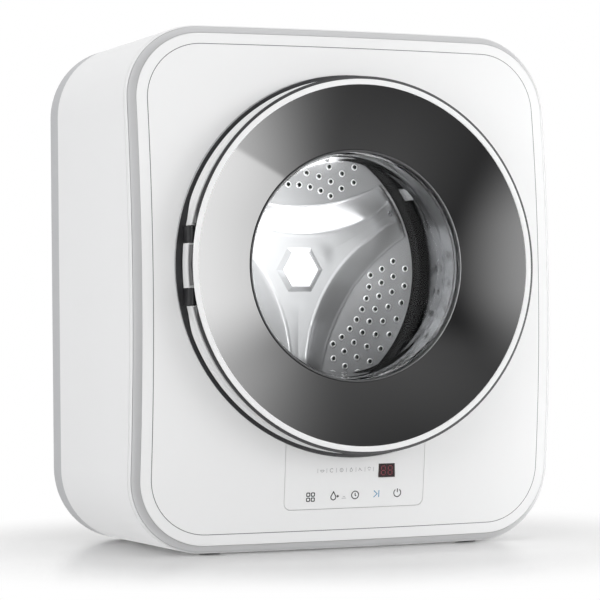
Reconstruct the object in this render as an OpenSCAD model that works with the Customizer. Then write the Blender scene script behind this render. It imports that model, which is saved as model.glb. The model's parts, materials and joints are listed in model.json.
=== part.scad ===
// Compact wall-hung clothes dryer with a crowned front and a round door.
// Axes: X to the right of someone facing the front, Y from the front to the back, Z up.
// Origin: centre of the overall box at the level of the pads.

/* [Body] */
// Width of the body
body_w = 534; // [520:1:560]
// Height of the body above its pads
body_h = 600; // [590:1:630]
// Depth of the body from its front edge plane to its rear edge
body_d = 287; // [283:1:310]
// Corner radius of the body seen from the front
corner_r = 88; // [75:1:95]
// Height that the rubber pads hold the body up
pad_stand = 1.5; // [1:0.5:6]
// Thickness of the wrap casing
casing_t = 1.5; // [1:0.1:2.5]
// Depth of the rear band
band_d = 28; // [26:1:34]
// Wall of the rear band
band_t = 4; // [3:0.5:6]

/* [Crowned front] */
// Rise of the crown above the front edge plane
crown_rise = 23.4; // [22:0.2:25]
// Distance from the centre at which the crown meets the edge plane
crown_reach = 290; // [280:1:300]
// Width of the bevel seen from the front
bevel_in = 9.3; // [7:0.1:12]
// Depth of the bevel seen from the side
bevel_back = 10.5; // [8:0.1:13]
// Distance of the panel seam from the outline
seam_in = 21.8; // [18:0.1:26]
// Width of the seam
seam_gap = 0.6; // [0.4:0.1:1]
// Thickness of the front panel and frame
front_t = 3; // [2.5:0.1:4]
// Depth of the visible strip of frame behind the bevel
strip_d = 3; // [2:0.5:5]
// Width of the groove between the frame and the casing
side_groove = 1; // [0.6:0.1:2]

/* [Door] */
// Height of the door centre above the body centre
door_up = 25.4; // [20:0.1:30]
// Outer radius of the door
door_r = 213; // [209:1:216]
// Distance of the door face from the front edge plane
door_proud = 47; // [46:0.5:50]
// Width of the bezel's face
bezel_w = 9; // [7:0.5:11]
// Thickness of the bezel's face
bezel_t = 3; // [2:0.5:4]
// Depth of the groove behind the bezel
groove_d = 13; // [11:0.5:14]
// How far the groove is set in from the door's edge
groove_in = 4; // [3:0.5:5]
// Depth of the door frame behind the groove
frame_d = 17; // [16:0.5:18]
// Gap between the closed door and its gasket
door_gap = 1.2; // [1:0.1:2]
// How far the gasket shows beyond the door
gasket_show = 7; // [5:0.5:9]
// Thickness of the gasket
gasket_t = 1.8; // [1.5:0.1:2.5]
// Radius of the window ring
window_r = 134; // [130:1:138]
// Depth from the bezel's face to the window ring
dish_d = 26; // [22:0.5:28]
// Thickness of the dished glass
glass_t = 3; // [2.5:0.1:4]
// Radius of the bowl at its rear edge
bowl_r = 129; // [124:1:130]
// Depth of the bowl behind the window ring
bowl_d = 41; // [36:1:42]
// Radius of the hinge pin
pin_r = 2.5; // [2:0.1:3]
// Height of the hinge leaf
leaf_h = 50; // [36:1:56]
// Height of each hinge arm
arm_h = 18; // [12:1:20]

/* [Controls] */
// Width of the control panel
ctrl_w = 176; // [160:1:190]
// Distance of the control panel's lower edge below the body centre
ctrl_low = 253; // [248:1:258]
// Width of the display
disp_w = 21; // [18:1:26]
// Height of the display
disp_h = 16; // [12:1:20]
// Distance of the display to the right of the centre
disp_x = 39; // [30:1:50]
// Distance of the display below the body centre
disp_low = 211; // [208:1:214]

/* [Drum] */
// Inner radius of the drum
drum_r = 175; // [170:1:180]
// Inner depth of the drum from its front lip to its back plate
drum_d = 156; // [151:1:158]
// Thickness of the drum sheet
drum_t = 1.2; // [1:0.1:1.6]
// Inner radius of the drum's front lip
lip_r = 150; // [148:1:154]
// Height of the raised star above the back plate
star_h = 20; // [16:1:24]
// Radius of the flat part of the back plate
plate_r = 162; // [158:1:165]
// Radius of the holes in the back plate
hole_r = 2.4; // [1.8:0.1:3]
// Distance between the rings of holes
hole_pitch = 15.9; // [15:0.1:16.2]
// Radius of the innermost ring of holes
hole_first = 104.7; // [103:0.1:106]
// Radius of the hexagonal cap's front face, to its corners
hex_r = 24; // [20:1:28]
// Radius of the drum shaft
shaft_r = 10; // [8:0.5:11]

/* [Drive] */
// Distance of the motor to the left of the centre
motor_x = 130; // [125:1:135]
// Height of the motor axis above the pads' level
motor_z = 78; // [75:1:82]
// Radius of the motor body
motor_r = 48; // [42:1:50]
// Radius of the motor pulley
pulley_r = 12; // [10:1:14]
// Radius of the motor shaft
spindle_r = 6; // [5:0.5:6]
// Width of the drum belt
belt_w = 8; // [6:1:10]
// Thickness of the drum belt
belt_t = 3; // [2:0.5:3.5]
// Radius of the idler pulley
idler_r = 15; // [13:1:16]
// Distance of the idler from the motor pulley along the belt
idler_along = 80; // [75:1:85]
// Length of the idler arm
idler_reach = 60; // [55:1:65]
// Radius of the fan impeller
fan_r = 54; // [48:1:56]
// Number of fan blades
fan_blades = 24; // [16:1:28]

/* [Back and services] */
// Outer radius of the exhaust collar
collar_r = 49; // [48:0.5:50]
// Distance of the exhaust collar to the right of the centre
collar_x = 45; // [40:1:50]
// Wall of the exhaust collar
collar_t = 2; // [1.5:0.5:3]
// Distance between the wall bolts, across
bolt_x = 400; // [380:5:410]
// Distance between the wall bolts, in height
bolt_z = 400; // [380:5:420]
// Radius of the wall bolt holes
bolt_r = 4.25; // [3:0.25:5]
// Depth of the wall bolt holes
bolt_depth = 20; // [15:1:20]

/* [Hidden] */
$fn = 96;

// Planes along the depth
y_rear = (body_d + door_proud) / 2;
y_door = -y_rear;
y_edge = y_rear - body_d;
y_door_back = y_door + bezel_t + groove_d + frame_d;
y_surround = y_door_back + door_gap + gasket_t;
surround_t = 3;
y_bulk_front = y_surround + 13;
bulk_t = 1.5;
felt_t = 6;
y_drum = y_bulk_front + bulk_t + felt_t + 0.5;
y_plate = y_drum + drum_d;
plate_step = 5;
y_bulk_rear = y_plate + plate_step + drum_t + 4;
panel_recess = band_d - 3;
y_back = y_rear - panel_recess;
back_t = 1.5;
snug = 0.3;
running = 0.05;
bore_play = 0.02;

// Heights
z_body = pad_stand + body_h / 2;
z_door = z_body + door_up;
z_floor = pad_stand + casing_t;

// Crown
crown_r = (crown_reach * crown_reach + crown_rise * crown_rise) / (2 * crown_rise);
crown_fn = 360;
frame_back = bevel_back + 0.5 + strip_d;
skirt_d = 12;

// Door
bezel_in_r = door_r - bezel_w;
y_ring = y_door + dish_d;
y_frame = y_door_back - frame_d;
gasket_r = door_r + gasket_show;
hinge_x = door_r - 7;
y_hinge = y_door_back - 12;
arm_r = 5;
arm_gap = 1;
leaf_r = y_surround - gasket_t - y_hinge - 0.4;

// Drum and bearings
drum_out_r = drum_r + drum_t;
race_r = 26;
race_w = 15;
ball_r = 3.4;
ball_ring_r = (race_r + shaft_r) / 2;
ball_count = 9;
y_bearing = y_bulk_rear + bulk_t + 6;

// Belt geometry: the belt's centre line touches the drum and the pulley
y_belt = y_drum + 60;
belt_drum_r = drum_out_r + snug + belt_t / 2;
belt_pulley_r = pulley_r + snug + belt_t / 2;
belt_dx = -motor_x;
belt_dz = motor_z - z_door;
belt_span = sqrt(belt_dx * belt_dx + belt_dz * belt_dz);
belt_dir = atan2(belt_dz, belt_dx);
belt_half = acos((belt_drum_r - belt_pulley_r) / belt_span);
run_dir = belt_dir + belt_half;
idler_off = belt_pulley_r + belt_t / 2 + snug + idler_r;
idler_x = -motor_x + idler_off * cos(run_dir) - idler_along * sin(run_dir);
idler_z = motor_z + idler_off * sin(run_dir) + idler_along * cos(run_dir);
pivot_x = idler_x - idler_reach * sin(run_dir) + 6 * cos(run_dir);
pivot_z = idler_z + idler_reach * cos(run_dir) + 6 * sin(run_dir);
pivot_r = 4;
arm_dir = atan2(idler_z - pivot_z, idler_x - pivot_x);
arm_len = norm([idler_x - pivot_x, idler_z - pivot_z]);

// Fan and ducts
duct_t = 2;
y_fan = y_bulk_rear + 14;
y_fan_back = y_back - 2;
fan_gap = 8;
housing_r = fan_r + fan_gap;
duct_low = z_floor + 12;
duct_top = duct_low + 90;
duct_right = 200;
duct_left = 100;

// ---- shapes that repeat ----

// Prism along Y from y0 to y1 over an outline drawn in X and Z
module prism_y(y0, y1) translate([0, y1, 0]) rotate([90, 0, 0]) linear_extrude(y1 - y0) children();

// Box from one corner to the other
module block(low, high) translate(low) cube(high - low);

// Round bar along Y
module rod_y(r, y0, y1) translate([0, y1, 0]) rotate([90, 0, 0]) cylinder(r = r, h = y1 - y0);

// Tube along Y
module tube_y(r_out, r_in, y0, y1) difference() {
    rod_y(r_out, y0, y1);
    rod_y(r_in, y0 - 1, y1 + 1);
}

// Body turned round the door and drum axis, from a profile of [radius, y] points
module turned(profile) translate([0, 0, z_door]) rotate([-90, 0, 0]) rotate_extrude() polygon(profile);

module rounded(w, h, r) {
    square([w - 2 * r, h], center = true);
    square([w, h - 2 * r], center = true);
    for (sx = [-1, 1], sz = [-1, 1]) translate([sx * (w / 2 - r), sz * (h / 2 - r)]) circle(r = r);
}

// Body outline set in by a distance
module outline(inset) translate([0, z_body]) rounded(body_w - 2 * inset, body_h - 2 * inset, corner_r - inset);

module shell_y(inset0, inset1, y0, y1) difference() {
    prism_y(y0, y1) outline(inset0);
    prism_y(y0 - 1, y1 + 1) outline(inset1);
}

// Everything behind the crowned surface that lies a given depth back
module behind_crown(back) translate([0, y_edge - crown_rise + crown_r + back, z_body])
    sphere(r = crown_r, $fn = crown_fn);

function crown_y(x, z) = y_edge - crown_rise + crown_r
    - sqrt(crown_r * crown_r - x * x - (z - z_body) * (z - z_body));

// Points round the outline at an inset, corner by corner
corner_steps = 12;
side_steps = 12;
function corner_points(inset) = [
    for (k = [0:3]) let (
        sx = (k == 0 || k == 3) ? 1 : -1,
        sz = k < 2 ? 1 : -1,
        cx = sx * (body_w / 2 - corner_r),
        cz = sz * (body_h / 2 - corner_r),
        far = (k % 2 == 0) ? body_w - 2 * corner_r : body_h - 2 * corner_r,
        go = 90 * (k + 1) + 90
    ) each concat(
        [for (i = [0:corner_steps]) let (a = 90 * k + 90 * i / corner_steps)
            [cx + (corner_r - inset) * cos(a), z_body + cz + (corner_r - inset) * sin(a)]],
        [for (i = [1:side_steps - 1]) let (a = 90 * (k + 1), s = far * i / side_steps)
            [cx + (corner_r - inset) * cos(a) + s * cos(go),
             z_body + cz + (corner_r - inset) * sin(a) + s * sin(go)]]
    )];

// Closed ring that follows the crown, from a section of [inset, depth] points
module crown_ring(section) {
    rows = [for (s = section) [for (p = corner_points(s[0])) [p[0], crown_y(p[0], p[1]) + s[1], p[1]]]];
    n = len(rows[0]);
    m = len(section);
    polyhedron(
        points = [for (row = rows) each row],
        faces = [for (j = [0:m - 1], i = [0:n - 1]) let (
                j2 = (j + 1) % m, i2 = (i + 1) % n,
                a = j * n + i, b = j * n + i2, c = j2 * n + i2, d = j2 * n + i)
            each [[a, c, b], [a, d, c]]]);
}

// Round tube swept along points
module swept(path, r, sides = 8) {
    n = len(path);
    ring = [for (i = [0:n - 1]) let (
            t = path[min(i + 1, n - 1)] - path[max(i - 1, 0)],
            w = t / norm(t),
            u0 = cross(w, abs(w[1]) > 0.9 ? [1, 0, 0] : [0, 1, 0]),
            u = u0 / norm(u0),
            v = cross(w, u))
        each [for (k = [0:sides - 1]) path[i] + r * (cos(360 * k / sides) * u + sin(360 * k / sides) * v)]];
    polyhedron(
        points = ring,
        faces = concat(
            [[for (k = [sides - 1:-1:0]) k]],
            [[for (k = [0:sides - 1]) (n - 1) * sides + k]],
            [for (i = [0:n - 2], k = [0:sides - 1]) let (
                    a = i * sides + k, b = i * sides + (k + 1) % sides)
                each [[a, b, b + sides], [a, b + sides, a + sides]]]));
}

// ---- cabinet ----

module wrap_casing() color("whitesmoke") intersection() {
    shell_y(0, casing_t, y_edge - crown_rise, y_rear - band_d);
    behind_crown(frame_back + side_groove);
}

module rear_band() color("silver") {
    shell_y(0, band_t, y_rear - band_d + snug, y_rear);
    shell_y(casing_t + snug, band_t, y_rear - band_d - 8, y_rear - band_d + snug);
}

inlet_w = 27;
inlet_h = 20;
inlet_x = collar_x + 110;
inlet_z = z_floor + 55;

module back_sheet() difference() {
    prism_y(y_back - back_t, y_back) outline(band_t + snug);
    translate([collar_x, 0, motor_z]) rod_y(collar_r + 1, y_back - 5, y_back + 5);
    block([inlet_x - inlet_w / 2 - 1, y_back - 5, inlet_z - inlet_h / 2 - 1],
          [inlet_x + inlet_w / 2 + 1, y_back + 5, inlet_z + inlet_h / 2 + 1]);
    for (row = [0:9], side = [-1, 1]) translate([side * 70, 0, z_door + 90 + 12 * row])
        block([-45, y_back - 5, -2.5], [45, y_back + 5, 2.5]);
}

module wall_bosses()
    for (sx = [-1, 1], sz = [-1, 1]) translate([sx * bolt_x / 2, 0, z_body + sz * bolt_z / 2]) difference() {
        rod_y(14, y_back, y_rear);
        rod_y(bolt_r, y_rear - bolt_depth, y_rear + 1);
    }

module back_panel() color("gainsboro") {
    back_sheet();
    wall_bosses();
}

module exhaust_collar() color("silver") translate([collar_x, 0, motor_z]) {
    tube_y(collar_r, collar_r - collar_t, y_fan_back, y_rear - 1);
    tube_y(collar_r + 8, collar_r - collar_t, y_back, y_back + 1.5);
}

module power_inlet() color("black") translate([inlet_x, 0, inlet_z]) difference() {
    union() {
        block([-inlet_w / 2, y_back - 18, -inlet_h / 2], [inlet_w / 2, y_back, inlet_h / 2]);
        block([-inlet_w / 2 - 5, y_back, -inlet_h / 2 - 4], [inlet_w / 2 + 5, y_back + 3, inlet_h / 2 + 4]);
    }
    block([-12, y_back - 14, -8], [12, y_back + 4, 8]);
    for (k = [-1:1]) translate([7 * k, 0, k == 0 ? 3 : -2])
        block([-1, y_back - 19, -2], [1, y_back - 13, 2]);
}

module inlet_pins() color("goldenrod") translate([inlet_x, 0, inlet_z])
    for (k = [-1:1]) translate([7 * k, 0, k == 0 ? 3 : -2])
        block([-1, y_back - 22, -2], [1, y_back - 3, 2]);

tray_t = 2;
tray_lip = 5;
tray_x = body_w / 2 - corner_r;
tray_front = y_edge + 40;
tray_back = y_back - 14;
module base_tray() color("gray") {
    block([-tray_x, tray_front, z_floor], [tray_x, tray_back, z_floor + tray_t]);
    for (y = [tray_front, tray_back - tray_t])
        block([-tray_x, y, z_floor + tray_t], [tray_x, y + tray_t, z_floor + tray_t + tray_lip]);
}

module base_pads() color("black")
    for (sx = [-1, 1], y = [y_edge + 35, y_rear - 55]) translate([sx * (body_w / 2 - corner_r - 15), y, 0])
        cylinder(r = 12, h = pad_stand);

module cabinet_screws() color("silver")
    for (sx = [-1, 1], z = [-0.75:0.5:0.75])
        translate([sx * (body_w / 2 - band_t - 10), 0, z_body + z * (bolt_z / 2)])
            rod_y(3.5, y_back, y_back + 2.4);

// ---- crowned front ----

module front_bevel_ring() color("darkgray") crown_ring([
    [bevel_in, 0], [0, bevel_back], [0, bevel_back + 0.2], [2.5, bevel_back + 0.2], [bevel_in, 3]]);

module front_frame() color("white") {
    difference() {
        intersection() {
            shell_y(bevel_in + snug, seam_in, y_edge - crown_rise - 1, y_edge + 60);
            behind_crown(0);
        }
        behind_crown(frame_back);
    }
    difference() {
        intersection() {
            shell_y(0, bevel_in + snug, y_edge - crown_rise - 1, y_edge + 60);
            behind_crown(bevel_back + 0.5);
        }
        behind_crown(frame_back);
    }
    difference() {
        intersection() {
            shell_y(casing_t + snug, casing_t + snug + 2, y_edge - crown_rise - 1, y_edge + 60);
            behind_crown(frame_back);
        }
        behind_crown(frame_back + skirt_d);
    }
}

// The panel's outline runs up to the door's centre, and the door opening cuts it off
ctrl_r = 8;
ctrl_top = ctrl_low + door_up;
module ctrl_outline(grow) {
    translate([0, z_body - ctrl_low]) {
        translate([-ctrl_w / 2 - grow, ctrl_r]) square([ctrl_w + 2 * grow, ctrl_top - ctrl_r]);
        translate([-ctrl_w / 2 + ctrl_r, -grow]) square([ctrl_w - 2 * ctrl_r, ctrl_top]);
        for (sx = [-1, 1]) translate([sx * (ctrl_w / 2 - ctrl_r), ctrl_r]) circle(r = ctrl_r + grow);
    }
}

module front_panel() color("white") difference() {
    intersection() {
        prism_y(y_edge - crown_rise - 1, y_edge + 60) outline(seam_in + seam_gap);
        behind_crown(0);
    }
    behind_crown(front_t);
    translate([0, 0, z_door]) rod_y(gasket_r + 0.5, y_edge - 60, y_edge + 60);
    prism_y(y_edge - 60, y_edge + 60) ctrl_outline(0.5);
}

module control_panel() color("whitesmoke") difference() {
    intersection() {
        prism_y(y_edge - crown_rise - 1, y_edge + 60) ctrl_outline(0);
        behind_crown(0);
    }
    behind_crown(front_t);
    translate([0, 0, z_door]) rod_y(gasket_r + 0.5, y_edge - 60, y_edge + 60);
    block([disp_x - disp_w / 2, y_edge - 60, z_body - disp_low - disp_h / 2],
          [disp_x + disp_w / 2, y_edge + 60, z_body - disp_low + disp_h / 2]);
}

y_disp = crown_y(disp_x, z_body - disp_low + disp_h / 2);
module display_window() color("maroon")
    block([disp_x - disp_w / 2 + 0.2, y_disp + 0.4, z_body - disp_low - disp_h / 2 + 0.2],
          [disp_x + disp_w / 2 - 0.2, y_disp + 2.2, z_body - disp_low + disp_h / 2 - 0.2]);

y_board = crown_y(ctrl_w / 2, z_body - ctrl_low) + front_t + snug;
module display_block()
    block([disp_x - disp_w / 2 + 1, y_disp + 2.2, z_body - disp_low - disp_h / 2 + 1],
          [disp_x + disp_w / 2 - 1, y_board, z_body - disp_low + disp_h / 2 - 1]);

module touch_board() color("green") {
    display_block();
    block([-ctrl_w / 2 + ctrl_r, y_board, z_body - ctrl_low + ctrl_r],
          [ctrl_w / 2 - ctrl_r, y_board + board_t, z_body - disp_low + 12]);
}

// The main board hangs on the right wall, on four pillars
board_t = 1.6;
board_d = 100;
board_h = 90;
board_edge = 10;
pillar_h = 6;
board_x = body_w / 2 - casing_t - pillar_h;
board_y = y_edge + 110;
board_z = z_body + body_h / 2 - corner_r - board_h / 2 - 4;
module main_board() color("darkgreen") translate([board_x, board_y, board_z]) {
    for (sy = [-1, 1], sz = [-1, 1])
        translate([0, sy * (board_d / 2 - board_edge), sz * (board_h / 2 - board_edge)])
            rotate([0, 90, 0]) cylinder(r = 3, h = pillar_h);
    block([-board_t, -board_d / 2, -board_h / 2], [0, board_d / 2, board_h / 2]);
    block([-24, -board_d / 2 + board_edge, -board_h / 2 + board_edge], [-board_t, -board_d / 2 + 40, 0]);
    block([-16, 10, 0], [-board_t, 34, 16]);
}

// ---- door opening ----

module door_surround() color("gainsboro")
    turned([[lip_r - 2, y_surround], [gasket_r, y_surround], [gasket_r, y_surround + surround_t],
            [lip_r - 2, y_surround + surround_t]]);

module arm_room(grow) for (s = [-1, 1])
    translate([-hinge_x, 0, z_door + s * (leaf_h / 2 + arm_gap + arm_h / 2)])
        block([-arm_r - grow, y_hinge, -arm_h / 2 - grow], [arm_r + grow, y_surround + 1, arm_h / 2 + grow]);

module door_gasket() color("black") difference() {
    turned([[door_r - 6, y_surround - gasket_t], [gasket_r, y_surround - gasket_t], [gasket_r, y_surround],
            [door_r - 6, y_surround]]);
    arm_room(snug);
}

collar_end = y_drum + 4;
module opening_collar() color("whitesmoke")
    turned([[lip_r - 4, y_surround], [lip_r - 2, y_surround], [lip_r - 2, collar_end], [lip_r - 4, collar_end]]);

module door_switch() color("black") translate([door_r - 22, 0, z_door])
    block([-9, y_surround + surround_t, -14], [9, y_bulk_front, 14]);

module front_bulkhead() color("silver") difference() {
    intersection() {
        translate([0, 0, z_body]) rod_y(body_w / 2 - seam_in - snug, y_bulk_front, y_bulk_front + bulk_t);
        block([-body_w, y_bulk_front - 1, z_door - drum_r + 20], [body_w, y_bulk_front + 5, body_h]);
    }
    translate([0, 0, z_door]) rod_y(lip_r - 1.7, y_bulk_front - 5, y_bulk_front + 5);
}

module front_glide_felt() color("tan")
    turned([[lip_r + 2, y_bulk_front + bulk_t], [lip_r + 18, y_bulk_front + bulk_t],
            [lip_r + 18, y_bulk_front + bulk_t + felt_t], [lip_r + 2, y_bulk_front + bulk_t + felt_t]]);

// ---- drum support ----

module rear_bulkhead() color("silver") difference() {
    intersection() {
        prism_y(y_bulk_rear, y_bulk_rear + bulk_t) outline(casing_t + snug);
        block([-body_w, y_bulk_rear - 1, duct_top + 50], [body_w, y_bulk_rear + 5, body_h + 50]);
    }
    translate([0, 0, z_door]) rod_y(race_r + 2, y_bulk_rear - 5, y_bulk_rear + 5);
    for (k = [0:8]) translate([0, 0, z_door]) rotate([0, -20 - 10 * k, 0]) translate([120, 0, 0])
        rod_y(7, y_bulk_rear - 5, y_bulk_rear + 5);
}

module bearing_housing() color("gray")
    turned([[race_r + snug, y_bulk_rear + bulk_t], [race_r + 26, y_bulk_rear + bulk_t],
            [race_r + 26, y_bulk_rear + bulk_t + 4], [race_r + 8, y_bulk_rear + bulk_t + 8],
            [race_r + 8, y_bearing + race_w + 3], [race_r - 4, y_bearing + race_w + 3],
            [race_r - 4, y_bearing + race_w + snug], [race_r + snug, y_bearing + race_w + snug]]);

module ball_track(y) translate([0, 0, z_door]) rotate([-90, 0, 0]) rotate_extrude()
    translate([ball_ring_r, y]) circle(r = ball_r + running);

y_balls = y_bearing + race_w / 2;
module bearing_outer_race() color("lightsteelblue") difference() {
    turned([[ball_ring_r + 1.8, y_bearing], [race_r, y_bearing], [race_r, y_bearing + race_w],
            [ball_ring_r + 1.8, y_bearing + race_w]]);
    ball_track(y_balls);
}

module bearing_inner_race() color("lightsteelblue") difference() {
    turned([[shaft_r, y_bearing], [ball_ring_r - 1.8, y_bearing], [ball_ring_r - 1.8, y_bearing + race_w],
            [shaft_r, y_bearing + race_w]]);
    ball_track(y_balls);
}

module bearing_balls() color("silver") for (k = [0:ball_count - 1])
    translate([0, y_balls, z_door]) rotate([0, 360 * k / ball_count, 0]) translate([ball_ring_r, 0, 0])
        sphere(r = ball_r);

// ---- air path ----

filter_w = 120;
filter_t = 6;
filter_low = z_door - lip_r - 48;
filter_top = z_door - lip_r - 10;
y_filter = y_surround + surround_t + snug + duct_t + snug;
module lint_filter() color("lightgray") difference() {
    block([-filter_w / 2, y_filter, filter_low], [filter_w / 2, y_filter + filter_t, filter_top]);
    for (i = [-5:5]) translate([i * 10, 0, 0])
        block([-4, y_filter - 1, filter_low + 5], [4, y_filter + filter_t + 1, filter_top - 4]);
}

// Hollow of the front duct when grow is 0, its outside when grow is the wall
y_drop = y_edge + 32;
drop_d = 20;
neck_h = 22.7;
neck_top = z_door - drum_out_r - 20;
neck_low = neck_top - neck_h;
module duct_path(grow) {
    for (up = [neck_top, filter_top + 1])
        block([-filter_w / 2 - snug - grow, y_filter - snug - grow, neck_low - grow],
              [filter_w / 2 + snug + grow,
               (up == neck_top ? y_drop + drop_d : y_filter + filter_t + snug) + grow, up + grow]);
    block([-filter_w / 2 - grow, y_drop - grow, duct_low - grow],
          [duct_right + grow, y_drop + drop_d + grow, neck_top + grow]);
    block([duct_left - grow, y_drop - grow, duct_low - grow],
          [duct_right + grow, y_fan - 6 + grow, duct_top + grow]);
    block([-motor_x - 46 - grow, y_fan - 16 - grow, duct_low - grow],
          [duct_right + grow, y_fan - duct_t + grow, duct_top + grow]);
}

module front_duct() color("lightgray") difference() {
    duct_path(duct_t);
    duct_path(0);
    translate([-motor_x, 0, motor_z]) rod_y(fan_r - 14, y_fan - 8, y_fan + 2);
    translate([-motor_x, 0, motor_z]) rod_y(spindle_r + 2, y_fan - 22, y_fan + 2);
    block([-filter_w / 2, y_filter, filter_top - 5], [filter_w / 2, y_filter + filter_t, filter_top + 5]);
}

module fan_housing() color("darkgray") {
    difference() {
        union() {
            translate([-motor_x, 0, motor_z]) rod_y(housing_r + duct_t, y_fan, y_fan_back);
            block([-motor_x, y_fan, motor_z - collar_r - duct_t],
                  [collar_x + collar_r + 4, y_fan_back, motor_z + collar_r + duct_t]);
        }
        translate([-motor_x, 0, motor_z]) rod_y(housing_r, y_fan + duct_t, y_fan_back - duct_t);
        block([-motor_x, y_fan + duct_t, motor_z - collar_r],
              [collar_x + collar_r + 2, y_fan_back - duct_t, motor_z + collar_r]);
        translate([-motor_x, 0, motor_z]) rod_y(fan_r - 14, y_fan - 1, y_fan + duct_t + 1);
        translate([collar_x, 0, motor_z]) rod_y(collar_r - collar_t, y_fan_back - duct_t - 1, y_fan_back + 1);
    }
}

heat_d = 44;
heat_rods = 4;
heat_w = 110;
bend_r = 11;
rod_r = 4;
heat_ends = [80, 80 + 2 * bend_r * (heat_rods - 1)];
heat_side = bend_r + rod_r + 7;
heat_wall = 2;
heat_low = z_door + heat_ends[0] - rod_r - 12;
heat_top = z_door + heat_ends[1] + rod_r + 13;
y_heat = y_bulk_rear + 24;
module heater_box() color("silver") difference() {
    block([-heat_side - heat_wall, y_bulk_rear + bulk_t, heat_low - heat_wall],
          [heat_w + heat_side + heat_wall, y_bulk_rear + bulk_t + heat_d, heat_top + heat_wall]);
    block([-heat_side, y_bulk_rear + bulk_t - 1, heat_low],
          [heat_w + heat_side, y_bulk_rear + bulk_t + heat_d - heat_wall, heat_top]);
    for (i = [0:5]) translate([heat_w * i / 5, 0, 0])
        block([-6, y_bulk_rear + heat_d - 5, heat_low + 16], [6, y_bulk_rear + heat_d + 5, heat_top - 13]);
    for (z = heat_ends) translate([0, y_heat, z_door + z]) rotate([0, -90, 0])
        cylinder(r = 3 + snug, h = heat_side + 8);
}

module heater_element() color("dimgray") {
    for (k = [0:heat_rods - 1]) translate([0, y_heat, z_door + heat_ends[0] + 2 * bend_r * k])
        rotate([0, 90, 0]) cylinder(r = rod_r, h = heat_w);
    for (k = [0:heat_rods - 2])
        translate([k % 2 == 0 ? heat_w : 0, y_heat, z_door + heat_ends[0] + bend_r * (2 * k + 1)])
            rotate([90, 0, 0]) rotate([0, 0, k % 2 == 0 ? -90 : 90]) rotate_extrude(angle = 180)
                translate([bend_r, 0]) circle(r = rod_r);
    for (z = heat_ends) translate([0, y_heat, z_door + z]) rotate([0, -90, 0])
        cylinder(r = 3, h = heat_side + 8);
}

y_heat_back = y_bulk_rear + bulk_t + heat_d;
module thermostats() color("ivory") for (x = [30, 100])
    translate([x, 0, heat_top - 3]) rod_y(8, y_heat_back, y_heat_back + 7);

// ---- drive ----

y_motor = y_belt + 20;
y_motor_back = y_fan - 24;
module motor_body() color("dimgray") translate([-motor_x, 0, motor_z]) difference() {
    union() {
        rod_y(motor_r, y_motor + 8, y_motor_back - 8);
        rod_y(motor_r - 6, y_motor, y_motor_back);
    }
    rod_y(spindle_r + running, y_motor - 1, y_motor_back + 1);
}

module idler_post() {
    block([pivot_x - post_half, y_belt + 16, z_tray], [pivot_x + post_half, y_belt + 18, pivot_z + 10]);
    translate([pivot_x, 0, pivot_z]) rod_y(pivot_r, y_belt - belt_w, y_belt + 16);
}

// One bracket carries the motor in two saddles and the idler on a post
saddle_d = 6;
y_saddle = y_motor + 12;
y_saddle_back = y_motor_back - 18;
z_tray = z_floor + tray_t;
z_sole = z_tray + 2;
post_half = 12;
module motor_bracket() color("silver") {
    difference() {
        for (y = [y_saddle, y_saddle_back])
            block([-motor_x - motor_r, y, z_tray], [-motor_x + motor_r, y + saddle_d, motor_z]);
        translate([-motor_x, 0, motor_z]) rod_y(motor_r + snug, y_motor, y_motor_back);
    }
    block([-motor_x - motor_r, y_saddle + saddle_d, z_tray], [-motor_x + motor_r, y_saddle_back, z_sole]);
    block([-motor_x + motor_r, y_saddle, z_tray], [pivot_x + post_half, y_saddle + saddle_d, z_sole]);
    block([pivot_x - post_half, y_belt + 18, z_tray], [pivot_x + post_half, y_saddle, z_sole]);
    idler_post();
}

module motor_shaft() color("silver") translate([-motor_x, 0, motor_z])
    rod_y(spindle_r, y_belt - belt_w / 2 - 4, y_fan_back - duct_t - 3);

module motor_pulley() color("dimgray") translate([-motor_x, 0, motor_z]) difference() {
    union() {
        rod_y(pulley_r, y_belt - belt_w / 2 - 3, y_belt + belt_w / 2 + 3);
        for (s = [-1, 1]) translate([0, y_belt + s * (belt_w / 2 + 2), 0]) rod_y(pulley_r + belt_t, -1, 1);
    }
    rod_y(spindle_r + bore_play, y_belt - belt_w, y_belt + belt_w);
}

module fan_impeller() color("darkslategray") translate([-motor_x, 0, motor_z]) difference() {
    union() {
        rod_y(fan_r, y_fan_back - duct_t - 6, y_fan_back - duct_t - 4);
        rod_y(spindle_r + 4, y_fan_back - duct_t - 20, y_fan_back - duct_t - 4);
        tube_y(fan_r, fan_r - 4, y_fan + duct_t + 4, y_fan + duct_t + 6);
        for (k = [0:fan_blades - 1]) rotate([0, 360 * k / fan_blades, 0]) translate([fan_r - 8, 0, 0])
            rotate([0, 30, 0]) block([-6, y_fan + duct_t + 4, -0.6], [6, y_fan_back - duct_t - 5, 0.6]);
    }
    rod_y(spindle_r + bore_play, y_fan, y_fan_back);
}

// Loop round the drum and the pulley, a distance off the belt's centre line
function belt_loop(off) = concat(
    [for (i = [0:90]) let (a = belt_dir + belt_half + (360 - 2 * belt_half) * i / 90)
        [(belt_drum_r + off) * cos(a), z_door + (belt_drum_r + off) * sin(a)]],
    [for (i = [0:12]) let (a = belt_dir - belt_half + 2 * belt_half * i / 12)
        [(belt_pulley_r + off) * cos(a) - motor_x, motor_z + (belt_pulley_r + off) * sin(a)]]);

module drum_belt() color("black") difference() {
    prism_y(y_belt - belt_w / 2, y_belt + belt_w / 2) polygon(belt_loop(belt_t / 2));
    prism_y(y_belt - belt_w, y_belt + belt_w) polygon(belt_loop(-belt_t / 2));
}

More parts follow.
